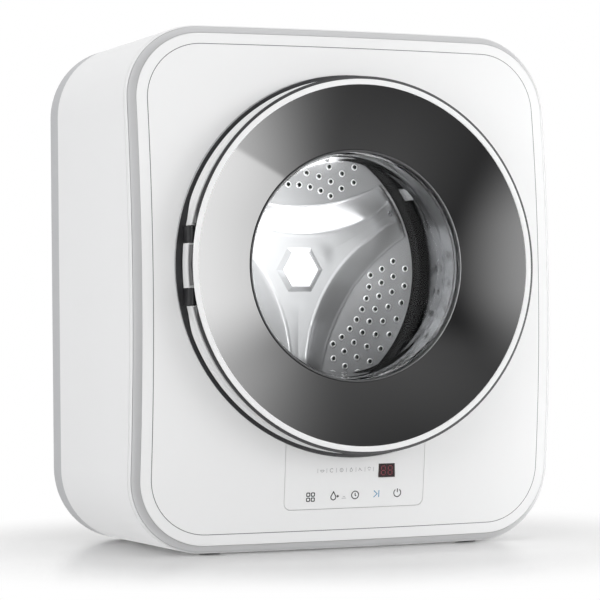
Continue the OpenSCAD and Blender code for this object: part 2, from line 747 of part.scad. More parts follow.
axle_r = 3;
y_arm = y_belt + belt_w / 2 + 1.5;
arm_t = 2;
module idler_arm() color("silver") difference() {
    union() {
        translate([pivot_x, 0, pivot_z]) rotate([0, -arm_dir, 0])
            block([0, y_arm, -5], [arm_len, y_arm + arm_t, 5]);
        translate([pivot_x, 0, pivot_z]) rod_y(pivot_r + 2, y_arm, y_arm + arm_t);
        translate([idler_x, 0, idler_z]) rod_y(2 * axle_r, y_arm, y_arm + arm_t);
        translate([idler_x, 0, idler_z]) rod_y(axle_r, y_belt - belt_w / 2 - 2, y_arm + arm_t);
    }
    translate([pivot_x, 0, pivot_z]) rod_y(pivot_r + running, y_belt - belt_w, y_belt + belt_w + 6);
}

module idler_pulley() color("black") translate([idler_x, 0, idler_z])
    tube_y(idler_r, axle_r + running, y_belt - belt_w / 2, y_belt + belt_w / 2);

spring_turns = 3;
spring_r = pivot_r + 3;
module idler_spring() color("silver") swept([for (i = [0:12 * spring_turns]) let (a = 30 * i)
    [pivot_x + spring_r * cos(a), y_belt + 14.8 - 2 * i / 12, pivot_z + spring_r * sin(a)]], 0.8);

// ---- door ----

module hinge_bracket() color("silver") for (s = [-1, 1])
    translate([-hinge_x, 0, z_door + s * (leaf_h / 2 + arm_gap + arm_h / 2)]) difference() {
        union() {
            translate([0, y_hinge, -arm_h / 2]) cylinder(r = arm_r, h = arm_h);
            block([-arm_r, y_hinge, -arm_h / 2], [arm_r - 1, y_surround, arm_h / 2]);
        }
        translate([0, y_hinge, -arm_h]) cylinder(r = pin_r + bore_play, h = 2 * arm_h);
    }

module hinge_pin() color("silver") translate([-hinge_x, y_hinge, z_door - leaf_h / 2 - arm_gap - arm_h])
    cylinder(r = pin_r, h = leaf_h + 2 * arm_gap + 2 * arm_h);

module hinge_notch() for (s = [-1, 1])
    translate([-hinge_x, 0, z_door + s * (leaf_h / 2 + arm_gap + arm_h / 2)])
        block([-20, y_hinge - 9, -arm_h / 2 - arm_gap], [8, y_door_back + 5, arm_h / 2 + arm_gap]);

module leaf_room(grow) translate([-hinge_x, 0, z_door])
    block([-20, y_hinge - 6 - grow, -leaf_h / 2 - grow], [8 + grow, y_door_back + 5, leaf_h / 2 + grow]);

module door_frame() color("white") difference() {
    turned([[bezel_in_r - 2, y_frame], [door_r, y_frame], [door_r, y_door_back], [bezel_in_r - 2, y_door_back]]);
    hinge_notch();
    leaf_room(0.2);
}

module hinge_leaf() color("white") difference() {
    intersection() {
        leaf_room(0);
        turned([[0, y_frame], [door_r, y_frame], [door_r, y_door_back], [0, y_door_back]]);
        translate([-hinge_x, y_hinge, z_door - leaf_h]) cylinder(r = leaf_r, h = 2 * leaf_h);
    }
    translate([-hinge_x, y_hinge, z_door - leaf_h]) cylinder(r = pin_r + running, h = 2 * leaf_h);
}

module door_groove_ring() color("dimgray") difference() {
    turned([[bezel_in_r, y_door + bezel_t], [door_r - groove_in, y_door + bezel_t],
            [door_r - groove_in, y_frame], [bezel_in_r, y_frame]]);
    hinge_notch();
}

module door_bezel() color("white")
    turned([[bezel_in_r, y_door + 1], [bezel_in_r + 1, y_door], [door_r - 2, y_door], [door_r, y_door + 1.5],
            [door_r, y_door + bezel_t], [bezel_in_r, y_door + bezel_t]]);

module door_glass() color("dimgray")
    turned([[window_r, y_ring], [bezel_in_r - 0.3, y_door + 1.5], [bezel_in_r - 0.3, y_door + 1.5 + glass_t],
            [window_r, y_ring + glass_t]]);

module door_window_ring() color("silver")
    turned([[window_r - 3, y_ring - 1], [window_r - 0.3, y_ring - 1], [window_r - 0.3, y_ring + glass_t],
            [window_r + 4, y_ring + glass_t + 1], [window_r + 4, y_door_back], [window_r, y_door_back],
            [window_r, y_ring + glass_t + 3.5], [window_r - 3, y_ring + glass_t + 3.5]]);

y_flange = y_ring + glass_t + 3.8;
y_bowl = y_ring + bowl_d;
module window_bowl() color("lightblue", 0.4)
    turned([[window_r - snug, y_flange], [window_r - snug, y_flange + glass_t],
            [window_r - 3, y_flange + glass_t], [bowl_r + 3, y_bowl - 4], [bowl_r, y_bowl],
            [0, y_bowl + 2], [0, y_bowl - 1], [bowl_r - 2, y_bowl - 3], [bowl_r, y_bowl - 6],
            [window_r - 6, y_flange]]);

liner_t = 2.5;
y_liner = y_door_back - liner_t;
module door_liner() color("whitesmoke") difference() {
    turned([[window_r + 4, y_liner], [bezel_in_r - 2, y_liner], [bezel_in_r - 2, y_door_back],
            [window_r + 4, y_door_back]]);
    leaf_room(0.2);
    hinge_notch();
}

module door_magnets() color("gray") for (s = [-1, 1]) translate([door_r - 22, 0, z_door + 8 * s])
    block([-5, y_liner - 5.5, -5], [5, y_liner, 5]);

module door_screws() color("silver") for (k = [0:7]) translate([0, 0, z_door])
    rotate([0, 22.5 + 45 * k, 0]) translate([window_r + 30, 0, 0]) rod_y(3, y_door_back, y_door_back + 0.8);

// ---- drum ----

y_drum_end = y_plate + plate_step;
module drum_shell() color("silver")
    turned([[lip_r, y_drum], [drum_out_r, y_drum], [drum_out_r, y_drum_end], [drum_r, y_drum_end],
            [drum_r, y_drum + drum_t], [lip_r, y_drum + drum_t]]);

// The star's ridge and foot are near sides of circles that stand off the axis
valley_turn = 88.5;
ridge_c = 235 * [cos(valley_turn), sin(valley_turn)];
ridge_cr = 193;
foot_c = 321 * [cos(valley_turn), sin(valley_turn)];
foot_cr = 242;
arm_tip_r = plate_r - 4;
function reach(a, c, cr) = let (
        along = c[0] * cos(a) + c[1] * sin(a),
        left = along * along - (c[0] * c[0] + c[1] * c[1] - cr * cr))
    (along > 0 && left >= 0) ? along - sqrt(left) : arm_tip_r;
function star_edge(a, c, cr) = min(arm_tip_r, min([for (k = [0:2]) reach(a - 120 * k, c, cr)]));
function star_foot(a) = star_edge(a, foot_c, foot_cr);
function star_ridge(a) = min(star_edge(a, ridge_c, ridge_cr), star_foot(a) - 3);

hole_step = 8.05;
hole_counts = [8, 9, 10, 9];
module plate_holes() for (arm = [0:2], ring = [0:3]) let (count = hole_counts[ring]) for (k = [0:count - 1]) {
    r = hole_first + hole_pitch * ring;
    a = valley_turn + 120 * arm + (k - (count - 1) / 2) * hole_step;
    if (r > star_foot(a) + hole_r && r < plate_r - 2 * hole_r)
        translate([r * cos(a), 0, z_door + r * sin(a)]) rod_y(hole_r, y_plate - 2, y_plate + 4);
}

module drum_back_plate() color("silver") difference() {
    turned([[shaft_r, y_plate], [plate_r, y_plate], [plate_r + 5, y_drum_end - drum_t],
            [drum_r - snug, y_drum_end - drum_t], [drum_r - snug, y_drum_end], [plate_r + 4, y_drum_end],
            [plate_r - 1, y_plate + drum_t], [shaft_r, y_plate + drum_t]]);
    plate_holes();
}

star_steps = 120;
hub_base_r = hex_r - 2;
star_hub = hub_base_r + snug;
// The arms ease down from here to their tips
fall_r = 105;
tip_h = 6;
function ease(t) = t * t * (3 - 2 * t);
function star_top(r) = star_h - (star_h - tip_h) * ease(max(0, (r - fall_r) / (arm_tip_r - fall_r)));
function star_row(a) = let (r1 = star_ridge(a), r2 = star_foot(a)) concat(
    [for (i = [0:4]) let (r = star_hub + (r1 - star_hub) * i / 4) [r, star_top(r)]],
    [for (i = [1:4]) [r1 + (r2 - r1) * i / 4, drum_t + (star_top(r1) - drum_t) * (1 - ease(i / 4))]]);

module drum_star() {
    rows = [for (k = [0:star_steps - 1]) let (a = 360 * k / star_steps)
        [for (p = star_row(a)) [p[0] * cos(a), p[1], z_door + p[0] * sin(a)]]];
    m = len(rows[0]);
    function top(k, i) = (k % star_steps) * m + i;
    function low(k, i) = star_steps * m + (k % star_steps) * m + i;
    color("gainsboro") polyhedron(
        points = concat(
            [for (row = rows) each [for (p = row) [p[0], y_plate - p[1], p[2]]]],
            [for (row = rows) each [for (p = row) [p[0], y_plate - p[1] + drum_t, p[2]]]]),
        faces = [for (k = [0:star_steps - 1]) each concat(
            [for (i = [0:m - 2]) each [
                [top(k, i), top(k, i + 1), top(k + 1, i + 1)],
                [top(k, i), top(k + 1, i + 1), top(k + 1, i)],
                [low(k, i), low(k + 1, i + 1), low(k, i + 1)],
                [low(k, i), low(k + 1, i), low(k + 1, i + 1)]]],
            [[top(k, 0), top(k + 1, 0), low(k + 1, 0)],
             [top(k, 0), low(k + 1, 0), low(k, 0)],
             [top(k, m - 1), low(k + 1, m - 1), top(k + 1, m - 1)],
             [top(k, m - 1), low(k, m - 1), low(k + 1, m - 1)]])]);
}

bracket_turn = 32.5;
module star_brackets() color("gainsboro") for (k = [0:2])
    translate([0, 0, z_door]) rotate([0, -bracket_turn - 120 * k, 0])
        block([drum_r - 3, y_plate - 30, -8], [drum_r - 0.5, y_plate - 8, 8]);

hub_h = 5;
y_hub = y_plate - star_h - snug;
module hub_cap() color("white") translate([0, 0, z_door]) rotate([-90, 0, 0]) {
    translate([0, 0, y_hub - hub_h]) cylinder(r1 = hex_r, r2 = hex_r + 7, h = hub_h, $fn = 6);
    translate([0, 0, y_hub]) cylinder(r = hub_base_r, h = y_plate - y_hub);
}

turned_r = shaft_r - bore_play;
y_flange_front = y_plate + drum_t;
y_flange_back = y_flange_front + 5;
y_shaft_end = y_bearing + race_w + 2;
module drum_shaft() color("silver") turned([
    [0, y_plate], [turned_r, y_plate], [turned_r, y_flange_front], [race_r - 2, y_flange_front],
    [race_r - 2, y_flange_back], [turned_r, y_flange_back], [turned_r, y_shaft_end], [0, y_shaft_end]]);

wrap_casing();
rear_band();
back_panel();
exhaust_collar();
power_inlet();
inlet_pins();
base_tray();
base_pads();
cabinet_screws();
front_bevel_ring();
front_frame();
front_panel();
control_panel();
display_window();
touch_board();
main_board();
door_surround();
door_gasket();
opening_collar();
door_switch();
front_bulkhead();
front_glide_felt();
rear_bulkhead();
bearing_housing();
bearing_outer_race();
bearing_balls();
lint_filter();
front_duct();
fan_housing();
heater_box();
heater_element();
thermostats();
motor_body();
motor_bracket();
drum_belt();
idler_spring();
hinge_bracket();
hinge_pin();
door_frame();
door_groove_ring();
door_bezel();
door_glass();
door_window_ring();
window_bowl();
door_liner();
hinge_leaf();
door_magnets();
door_screws();
drum_shell();
drum_back_plate();
drum_star();
star_brackets();
hub_cap();
drum_shaft();
bearing_inner_race();
motor_shaft();
motor_pulley();
fan_impeller();
idler_arm();
idler_pulley();
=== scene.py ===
import json
import math

import bmesh
import bpy
from mathutils import Matrix, Vector
from mathutils.bvhtree import BVHTree


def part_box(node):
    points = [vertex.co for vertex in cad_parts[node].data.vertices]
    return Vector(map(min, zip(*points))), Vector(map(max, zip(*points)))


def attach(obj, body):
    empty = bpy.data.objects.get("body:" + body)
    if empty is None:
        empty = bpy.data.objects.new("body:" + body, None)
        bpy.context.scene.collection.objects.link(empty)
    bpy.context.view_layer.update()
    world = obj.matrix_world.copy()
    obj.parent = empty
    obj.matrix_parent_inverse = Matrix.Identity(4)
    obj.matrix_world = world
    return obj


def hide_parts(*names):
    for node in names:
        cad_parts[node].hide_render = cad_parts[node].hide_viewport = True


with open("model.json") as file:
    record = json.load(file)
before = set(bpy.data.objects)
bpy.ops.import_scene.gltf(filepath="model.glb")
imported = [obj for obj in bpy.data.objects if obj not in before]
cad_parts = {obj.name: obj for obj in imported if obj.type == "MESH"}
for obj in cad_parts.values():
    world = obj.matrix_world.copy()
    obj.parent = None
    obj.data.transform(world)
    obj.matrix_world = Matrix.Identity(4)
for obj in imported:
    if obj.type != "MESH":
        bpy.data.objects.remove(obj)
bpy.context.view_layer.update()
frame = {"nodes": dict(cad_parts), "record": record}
scene = bpy.context.scene
nodes = frame["nodes"]
record = frame["record"]
mm = 0.001

# places that several pieces share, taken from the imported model, in millimetres
doorLow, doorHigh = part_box("door_bezel")
zDoor = (doorLow.z + doorHigh.z) / 2 / mm
yDoor = doorLow.y / mm
doorRadius = (doorHigh.x - doorLow.x) / 2 / mm
ringLow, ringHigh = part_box("door_window_ring")
yRing = ringLow.y / mm + 1
yDoorBack = ringHigh.y / mm
bodyLow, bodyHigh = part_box("rear_band")
bodyWidth = (bodyHigh.x - bodyLow.x) / mm
zBody = (bodyLow.z + bodyHigh.z) / 2 / mm
bodyHeight = (bodyHigh.z - bodyLow.z) / mm
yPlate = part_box("drum_star")[1].y / mm
print("frame loaded, door centre at", round(zDoor, 1), "mm")

cameraSetup = {
    "place": (-1.21402, -2.7311, 0.25037),
    "turn": 23.78,  # degrees to the right of the depth axis
    "tilt": 0.76,
    "roll": -0.63,
    "lens": 149.37,
    "sensor": 36.0,
    "clip": (0.05, 60.0),
}


def makeCamera(setup):
    data = bpy.data.cameras.new("viewCamera")
    data.lens = setup["lens"]
    data.sensor_width = setup["sensor"]
    data.clip_start, data.clip_end = setup["clip"]
    camera = bpy.data.objects.new("viewCamera", data)
    scene.collection.objects.link(camera)
    turn = Matrix.Rotation(math.radians(-setup["turn"]), 4, "Z")
    tilt = Matrix.Rotation(math.radians(90 + setup["tilt"]), 4, "X")
    roll = Matrix.Rotation(math.radians(setup["roll"]), 4, "Z")
    camera.matrix_world = Matrix.Translation(setup["place"]) @ turn @ tilt @ roll
    scene.camera = camera


makeCamera(cameraSetup)
scene.view_settings.view_transform = "Standard"


def feed(tree, socket, value):
    # a socket takes either a plain value or another socket's output
    if isinstance(value, bpy.types.NodeSocket):
        tree.links.new(value, socket)
    else:
        socket.default_value = value


def addNode(tree, kind, inputs=None, **settings):
    node = tree.nodes.new(kind)
    for label, value in settings.items():
        setattr(node, label, value)
    for label, value in (inputs or {}).items():
        feed(tree, node.inputs[label], value)
    return node


def mathNode(tree, operation, *values, clamp=False):
    node = addNode(tree, "ShaderNodeMath", operation=operation, use_clamp=clamp)
    for socket, value in zip(node.inputs, values):
        feed(tree, socket, value)
    return node.outputs[0]


def smoothRamp(tree, value, start, end, low=0.0, high=1.0):
    return addNode(tree, "ShaderNodeMapRange", {
        "Value": value, "From Min": start, "From Max": end, "To Min": low, "To Max": high},
        interpolation_type="SMOOTHSTEP").outputs["Result"]


def noiseNode(tree, place, scale, detail):
    return addNode(tree, "ShaderNodeTexNoise",
                   {"Vector": place, "Scale": scale, "Detail": detail}).outputs["Fac"]


def scaledColour(tree, colour, amount):
    return addNode(tree, "ShaderNodeVectorMath", {0: colour, "Scale": amount}, operation="SCALE").outputs[0]


def mixShaders(tree, share, first, second):
    return addNode(tree, "ShaderNodeMixShader", {0: share, 1: first, 2: second}).outputs[0]


def newMaterial(name):
    material = bpy.data.materials.new(name)
    material.use_nodes = True
    material.node_tree.nodes.clear()
    return material, material.node_tree


socketKinds = {1: "NodeSocketFloat", 3: "NodeSocketVector", 4: "NodeSocketColor"}


def newGroup(name, inputs, outputs):
    # inputs give each socket's default value, outputs how many numbers it carries
    group = bpy.data.node_groups.new(name, "ShaderNodeTree")
    for label, value in inputs.items():
        kind = socketKinds[len(value) if isinstance(value, tuple) else 1]
        group.interface.new_socket(label, in_out="INPUT", socket_type=kind).default_value = value
    for label, width in outputs.items():
        group.interface.new_socket(label, in_out="OUTPUT", socket_type=socketKinds[width])
    return group, group.nodes.new("NodeGroupInput").outputs, group.nodes.new("NodeGroupOutput").inputs


studio = {
    "wrapLight": 0.62,  # even light from all round
    "frontDark": 0.32,  # what gloss sees behind the viewer
    "frontFade": (-0.35, 0.15),
    "floorSize": 14.0,
    "floorDrop": 0.0003,
    "floorBounce": 0.85,  # how pale the floor is for the light it throws back
    "floorShown": 0.9,
    "floorRough": 0.22,
    "floorGloss": 0.7,
    "floorClear": (0.31, 0.6),  # the floor fades to white between these distances
}

# Soft light fields that only gloss sees. Azimuth runs from the front towards +X, in degrees:
# left out, left in, right in, right out, bottom out, bottom in, top in, top out, level
lightFields = {
    "paleWall": (32, 67, 85, 110, -38, -16, 8, 38, 9.5),
    "brightWindow": (40, 49, 80, 100, -16.6, -15.6, 6, 18, 5.5),
    "lowTable": (-10, 20, 60, 80, -42, -18, -15, -5, 1.1),
    "highWall": (-25, 15, 60, 80, 14, 22, 24, 42, 1.1),
    "sideWall": (-20, -16, -15.5, -2, -30, -6, 6, 28, 6.5),
    "behindViewer": (6, 16, 32, 42, -9, -3, 8, 15, 0.3),
}


def makeFieldGroup():
    # one patch of light: a level times four soft edges
    labels = ["Azimuth", "Elevation", "Left Out", "Left In", "Right In", "Right Out",
              "Bottom Out", "Bottom In", "Top In", "Top Out", "Level"]
    group, given, made = newGroup("lightField", dict.fromkeys(labels, 0.0), {"Strength": 1})
    level = given["Level"]
    for source, start, end in [("Azimuth", "Left Out", "Left In"), ("Azimuth", "Right Out", "Right In"),
                               ("Elevation", "Bottom Out", "Bottom In"), ("Elevation", "Top Out", "Top In")]:
        level = mathNode(group, "MULTIPLY", level, smoothRamp(group, given[source], given[start], given[end]))
    feed(group, made["Strength"], level)
    return group


def makeWorld(setup):
    world = bpy.data.worlds.new("studioWorld")
    scene.world = world
    world.use_nodes = True
    tree = world.node_tree
    tree.nodes.clear()

    def glow(strength):
        return addNode(tree, "ShaderNodeBackground", {"Color": (1, 1, 1, 1), "Strength": strength}).outputs[0]

    path = addNode(tree, "ShaderNodeLightPath").outputs
    place = addNode(tree, "ShaderNodeTexCoord").outputs["Generated"]
    way = addNode(tree, "ShaderNodeSeparateXYZ", {0: place}).outputs
    total = smoothRamp(tree, way["Y"], *setup["frontFade"], setup["frontDark"], 1.0)
    forward = mathNode(tree, "MULTIPLY", way["Y"], -1.0)
    azimuth = mathNode(tree, "DEGREES", mathNode(tree, "ARCTAN2", way["X"], forward))
    elevation = mathNode(tree, "DEGREES", mathNode(tree, "ARCSINE", way["Z"]))
    fieldGroup = makeFieldGroup()
    for name, values in lightFields.items():
        field = addNode(tree, "ShaderNodeGroup", name=name, node_tree=fieldGroup)
        for socket, value in zip(field.inputs, (azimuth, elevation, *values)):
            feed(tree, socket, value)
        total = mathNode(tree, "ADD", total, field.outputs["Strength"])
    fresh = mathNode(tree, "LESS_THAN", path["Diffuse Depth"], 0.5)  # not after a matt bounce
    gloss = glow(mathNode(tree, "MULTIPLY", total, fresh))
    either = mathNode(tree, "ADD", path["Is Glossy Ray"], path["Is Transmission Ray"], clamp=True)
    lit = mixShaders(tree, either, glow(setup["wrapLight"]), gloss)
    shown = mixShaders(tree, path["Is Camera Ray"], lit, glow(1.0))
    addNode(tree, "ShaderNodeOutputWorld", {"Surface": shown})


makeWorld(studio)


def makeFloor(setup):
    size = setup["floorSize"]
    mesh = bpy.data.meshes.new("studioFloor")
    corners = [(-size, -size, 0), (size, -size, 0), (size, size, 0), (-size, size, 0)]
    mesh.from_pydata(corners, [], [(0, 1, 2, 3)])
    floor = bpy.data.objects.new("studioFloor", mesh)
    scene.collection.objects.link(floor)
    floor.location.z = -setup["floorDrop"]
    material, tree = newMaterial("studioFloorPale")
    direct = addNode(tree, "ShaderNodeLightPath").outputs["Is Camera Ray"]
    tone = addNode(tree, "ShaderNodeMix", {
        0: direct, 6: (*(setup["floorBounce"],) * 3, 1), 7: (*(setup["floorShown"],) * 3, 1)},
        data_type="RGBA").outputs[2]
    shade = addNode(tree, "ShaderNodeBsdfPrincipled", {
        "Base Color": tone, "Roughness": setup["floorRough"], "Specular IOR Level": setup["floorGloss"]})
    place = addNode(tree, "ShaderNodeTexCoord").outputs["Object"]
    far = addNode(tree, "ShaderNodeVectorMath", {0: place}, operation="LENGTH").outputs["Value"]
    share = mathNode(tree, "MULTIPLY", smoothRamp(tree, far, *setup["floorClear"]), direct)
    white = addNode(tree, "ShaderNodeEmission")
    mixed = mixShaders(tree, share, shade.outputs[0], white.outputs[0])
    addNode(tree, "ShaderNodeOutputMaterial", {"Surface": mixed})
    mesh.materials.append(material)
    floor.visible_glossy = False  # gloss sees the light fields below the horizon too


makeFloor(studio)

lampTarget = Vector((0, -0.15, zDoor * mm))
lamps = {
    # name: azimuth, elevation, distance, width, height, watts
    "windowRight": (30, 4, 2.6, 0.7, 0.9, 6),
    "lowFront": (-6, -4, 2.8, 2.0, 0.4, 6),
    "keyRight": (46, 14, 2.6, 1.2, 1.0, 13),
    "fillLeft": (-68, 14, 2.8, 1.6, 1.6, 22),
    "topSoft": (10, 78, 2.4, 1.8, 1.8, 6),
}
drumLamps = {
    # small lamps inside the drum, above the window
    # name: place and aim from the door's centre in mm, width, height, watts, seen by gloss
    "drumLampFront": ((-72, -84, 56), (-18, 46, -20), 80, 40, 0.42, False),
    "drumLampRoof": ((34, -34, 154), (10, 14, 0), 200, 56, 0.13, True),
    "drumLampTip": ((112, -55, -6), (96, 30, 56), 50, 30, 0.08, False),
    "drumLampLow": ((-105, -60, -62), (-80, 30, -48), 50, 30, 0.1, False),
}


def makeLamp(name, place, away, width, height, watts, inGloss=False):
    data = bpy.data.lights.new(name, "AREA")
    data.shape = "RECTANGLE"
    data.size, data.size_y = width, height
    data.energy = watts
    lamp = bpy.data.objects.new(name, data)
    scene.collection.objects.link(lamp)
    lamp.location = place
    lamp.rotation_mode = "QUATERNION"
    lamp.rotation_quaternion = away.to_track_quat("Z", "Y")
    lamp.visible_camera = False
    lamp.visible_glossy = inGloss
    lamp.visible_transmission = False


for lampName, (azimuth, elevation, distance, width, height, watts) in lamps.items():
    a, e = math.radians(azimuth), math.radians(elevation)
    away = Vector((math.sin(a) * math.cos(e), -math.cos(a) * math.cos(e), math.sin(e)))
    makeLamp(lampName, lampTarget + away * distance, away, width, height, watts)
for lampName, (place, aim, width, height, watts, inGloss) in drumLamps.items():
    makeLamp(lampName, (Vector(place) + Vector((0, 0, zDoor))) * mm, Vector(place) - Vector(aim),
             width * mm, height * mm, watts, inGloss)
print("studio ready")


def makeFinishGroup():
    # soft tone patches, fine grain and a little dust on faces that look up
    group, given, made = newGroup(
        "mouldedFinish",
        {"Color": (1, 1, 1, 1), "Tone": 0.03, "Tone Scale": 6.0, "Roughness": 0.3, "Spread": 0.05,
         "Grain Scale": 900.0, "Dust": 0.05},
        {"Color": 4, "Roughness": 1, "Height": 1})
    place = addNode(group, "ShaderNodeTexCoord").outputs["Object"]
    patch = noiseNode(group, place, given["Tone Scale"], 3.0)
    grain = noiseNode(group, place, given["Grain Scale"], 2.0)
    centre = mathNode(group, "SUBTRACT", patch, 0.5)
    toned = scaledColour(group, given["Color"], mathNode(group, "MULTIPLY_ADD", centre, given["Tone"], 1.0))
    normal = addNode(group, "ShaderNodeNewGeometry").outputs["Normal"]
    facing = addNode(group, "ShaderNodeSeparateXYZ", {0: normal}).outputs["Z"]
    upward = addNode(group, "ShaderNodeMapRange", {"Value": facing, "From Min": 0.75, "From Max": 1.0})
    dustFall = mathNode(group, "MULTIPLY", upward.outputs["Result"], patch)
    dust = mathNode(group, "MULTIPLY", dustFall, given["Dust"], clamp=True)
    dusty = addNode(group, "ShaderNodeMix", {0: dust, 6: toned, 7: (0.55, 0.54, 0.52, 1)}, data_type="RGBA")
    rough = mathNode(group, "MULTIPLY_ADD", centre, given["Spread"], given["Roughness"])
    feed(group, made["Color"], dusty.outputs[2])
    feed(group, made["Roughness"], mathNode(group, "ADD", rough, dust, clamp=True))
    feed(group, made["Height"], grain)
    return group


def makeBrushGroup():
    # streaks drawn out along one axis, as brushing or rolling leaves them
    group, given, made = newGroup(
        "brushedMetal",
        {"Color": (1, 1, 1, 1), "Stretch": (1, 1, 1), "Streak Scale": 300.0, "Streak": 0.1,
         "Roughness": 0.25, "Spread": 0.1, "Smudge Scale": 8.0},
        {"Color": 4, "Roughness": 1, "Height": 1})
    place = addNode(group, "ShaderNodeTexCoord").outputs["Object"]
    drawn = addNode(group, "ShaderNodeVectorMath", {0: place, 1: given["Stretch"]}, operation="MULTIPLY")
    streak = noiseNode(group, drawn.outputs[0], given["Streak Scale"], 3.0)
    smudge = noiseNode(group, place, given["Smudge Scale"], 2.0)
    centre = mathNode(group, "SUBTRACT", mathNode(group, "ADD", streak, smudge), 1.0)
    amount = mathNode(group, "MULTIPLY_ADD", centre, given["Streak"], 1.0)
    rough = mathNode(group, "MULTIPLY_ADD", centre, given["Spread"], given["Roughness"], clamp=True)
    feed(group, made["Color"], scaledColour(group, given["Color"], amount))
    feed(group, made["Roughness"], rough)
    feed(group, made["Height"], streak)
    return group


def makeSeamPaintedShadeGroup():
    # painted shade: darkens a colour towards where the drum's back plate meets its wall, by depth and by distance
    # from its axis
    group, given, made = newGroup(
        "drumSeamPaintedShade",
        {"Color": (1, 1, 1, 1), "Axis Height": 0.3, "Radius From": 0.1625, "Radius To": 0.165,
         "Depth From": 0.04, "Depth To": 0.05, "Dark": 0.8},
        {"Color": 4})
    place = addNode(group, "ShaderNodeTexCoord").outputs["Object"]
    way = addNode(group, "ShaderNodeSeparateXYZ", {0: place}).outputs
    rise = mathNode(group, "SUBTRACT", way["Z"], given["Axis Height"])
    flat = addNode(group, "ShaderNodeCombineXYZ", {0: way["X"], 1: rise}).outputs[0]
    away = addNode(group, "ShaderNodeVectorMath", {0: flat}, operation="LENGTH").outputs["Value"]
    outward = smoothRamp(group, away, given["Radius From"], given["Radius To"])
    inward = smoothRamp(group, way["Y"], given["Depth From"], given["Depth To"])
    keep = mathNode(group, "MULTIPLY", mathNode(group, "MULTIPLY", outward, inward), given["Dark"])
    level = mathNode(group, "SUBTRACT", 1.0, keep)
    feed(group, made["Color"], scaledColour(group, given["Color"], level))
    return group


finishGroup = makeFinishGroup()
brushGroup = makeBrushGroup()
seamPaintedShadeGroup = makeSeamPaintedShadeGroup()
bumpDistance = 0.0004


def finishMaterial(name, group, values, sockets, bump, seamPaintedShade=None):
    material, tree = newMaterial(name)
    effect = addNode(tree, "ShaderNodeGroup", values, node_tree=group).outputs
    raised = addNode(tree, "ShaderNodeBump", {
        "Strength": bump, "Distance": bumpDistance, "Height": effect["Height"]}).outputs["Normal"]
    colour = effect["Color"]
    # painted shade at the back of the drum goes over the colour
    if seamPaintedShade:
        colour = addNode(tree, "ShaderNodeGroup", {**seamPaintedShade, "Color": colour},
                         node_tree=seamPaintedShadeGroup).outputs["Color"]
    shade = addNode(tree, "ShaderNodeBsdfPrincipled", {
        **sockets, "Base Color": colour, "Roughness": effect["Roughness"], "Normal": raised})
    addNode(tree, "ShaderNodeOutputMaterial", {"Surface": shade.outputs[0]})
    return material


# slot: colour, tone, tone scale, roughness, spread, grain scale, dust, bump, extra sockets
mouldedFinishes = {
    "casing_paint": ((0.87, 0.873, 0.88), 0.02, 5, 0.30, 0.05, 700, 0.05, 0.05, {"Coat Weight": 0.3}),
    "front_white": ((0.87, 0.872, 0.874), 0.015, 5, 0.34, 0.04, 900, 0.03, 0.02, {"Specular IOR Level": 0.35}),
    "door_white": ((0.88, 0.882, 0.884), 0.015, 7, 0.34, 0.04, 900, 0.03, 0.02, {"Specular IOR Level": 0.35}),
    "bevel_grey": ((0.6, 0.602, 0.61), 0.03, 9, 0.3, 0.05, 1500, 0.03, 0.05, {"Metallic": 0.35}),
    "band_grey": ((0.5, 0.505, 0.52), 0.03, 7, 0.38, 0.06, 1200, 0.06, 0.1, {}),
    "liner_white": ((0.66, 0.665, 0.68), 0.03, 9, 0.38, 0.06, 1200, 0.04, 0.1, {}),
    "collar_plastic": ((0.5, 0.51, 0.53), 0.04, 9, 0.42, 0.08, 1200, 0.12, 0.15, {}),
    "black_plastic": ((0.022, 0.022, 0.024), 0.2, 12, 0.4, 0.1, 1400, 0.04, 0.2, {}),
    "pad_rubber": ((0.02, 0.02, 0.02), 0.2, 30, 0.75, 0.1, 1800, 0.03, 0.4, {}),
    "gasket_rubber": ((0.018, 0.018, 0.02), 0.2, 20, 0.55, 0.12, 1500, 0.02, 0.25, {}),
    "belt_rubber": ((0.02, 0.02, 0.02), 0.25, 25, 0.7, 0.1, 2000, 0.05, 0.5, {}),
    "circuit_board": ((0.012, 0.11, 0.05), 0.15, 40, 0.35, 0.1, 2500, 0.05, 0.2, {"Coat Weight": 0.4}),
    "felt": ((0.3, 0.26, 0.2), 0.35, 90, 0.95, 0.05, 2600, 0.05, 0.9, {"Sheen Weight": 0.6}),
    "thermostat_ceramic": ((0.66, 0.62, 0.52), 0.06, 30, 0.45, 0.1, 1500, 0.08, 0.15, {}),
    "motor_metal": ((0.055, 0.06, 0.068), 0.15, 18, 0.42, 0.1, 1300, 0.15, 0.25, {"Metallic": 0.2}),
    "groove_grey": ((0.1, 0.1, 0.102), 0.1, 15, 0.35, 0.08, 1500, 0.02, 0.1, {}),
    # near-black sleeves in the plate's holes: painted shade
    "holeThroatPaintedShade": ((0.006, 0.006, 0.006), 0.1, 20, 0.8, 0.05, 1500, 0.0, 0.02, {}),
    "hub_white": ((0.9, 0.9, 0.9), 0.01, 10, 0.28, 0.04, 1200, 0.02, 0.02, {}),
    "display_lens": ((0.018, 0.003, 0.005), 0.1, 20, 0.12, 0.03, 1500, 0.02, 0.01, {"Coat Weight": 0.5}),
    "smoked_glass": ((0.006, 0.006, 0.0065), 0.05, 4, 0.035, 0.01, 600, 0.0, 0.0, {"IOR": 1.52}),
}

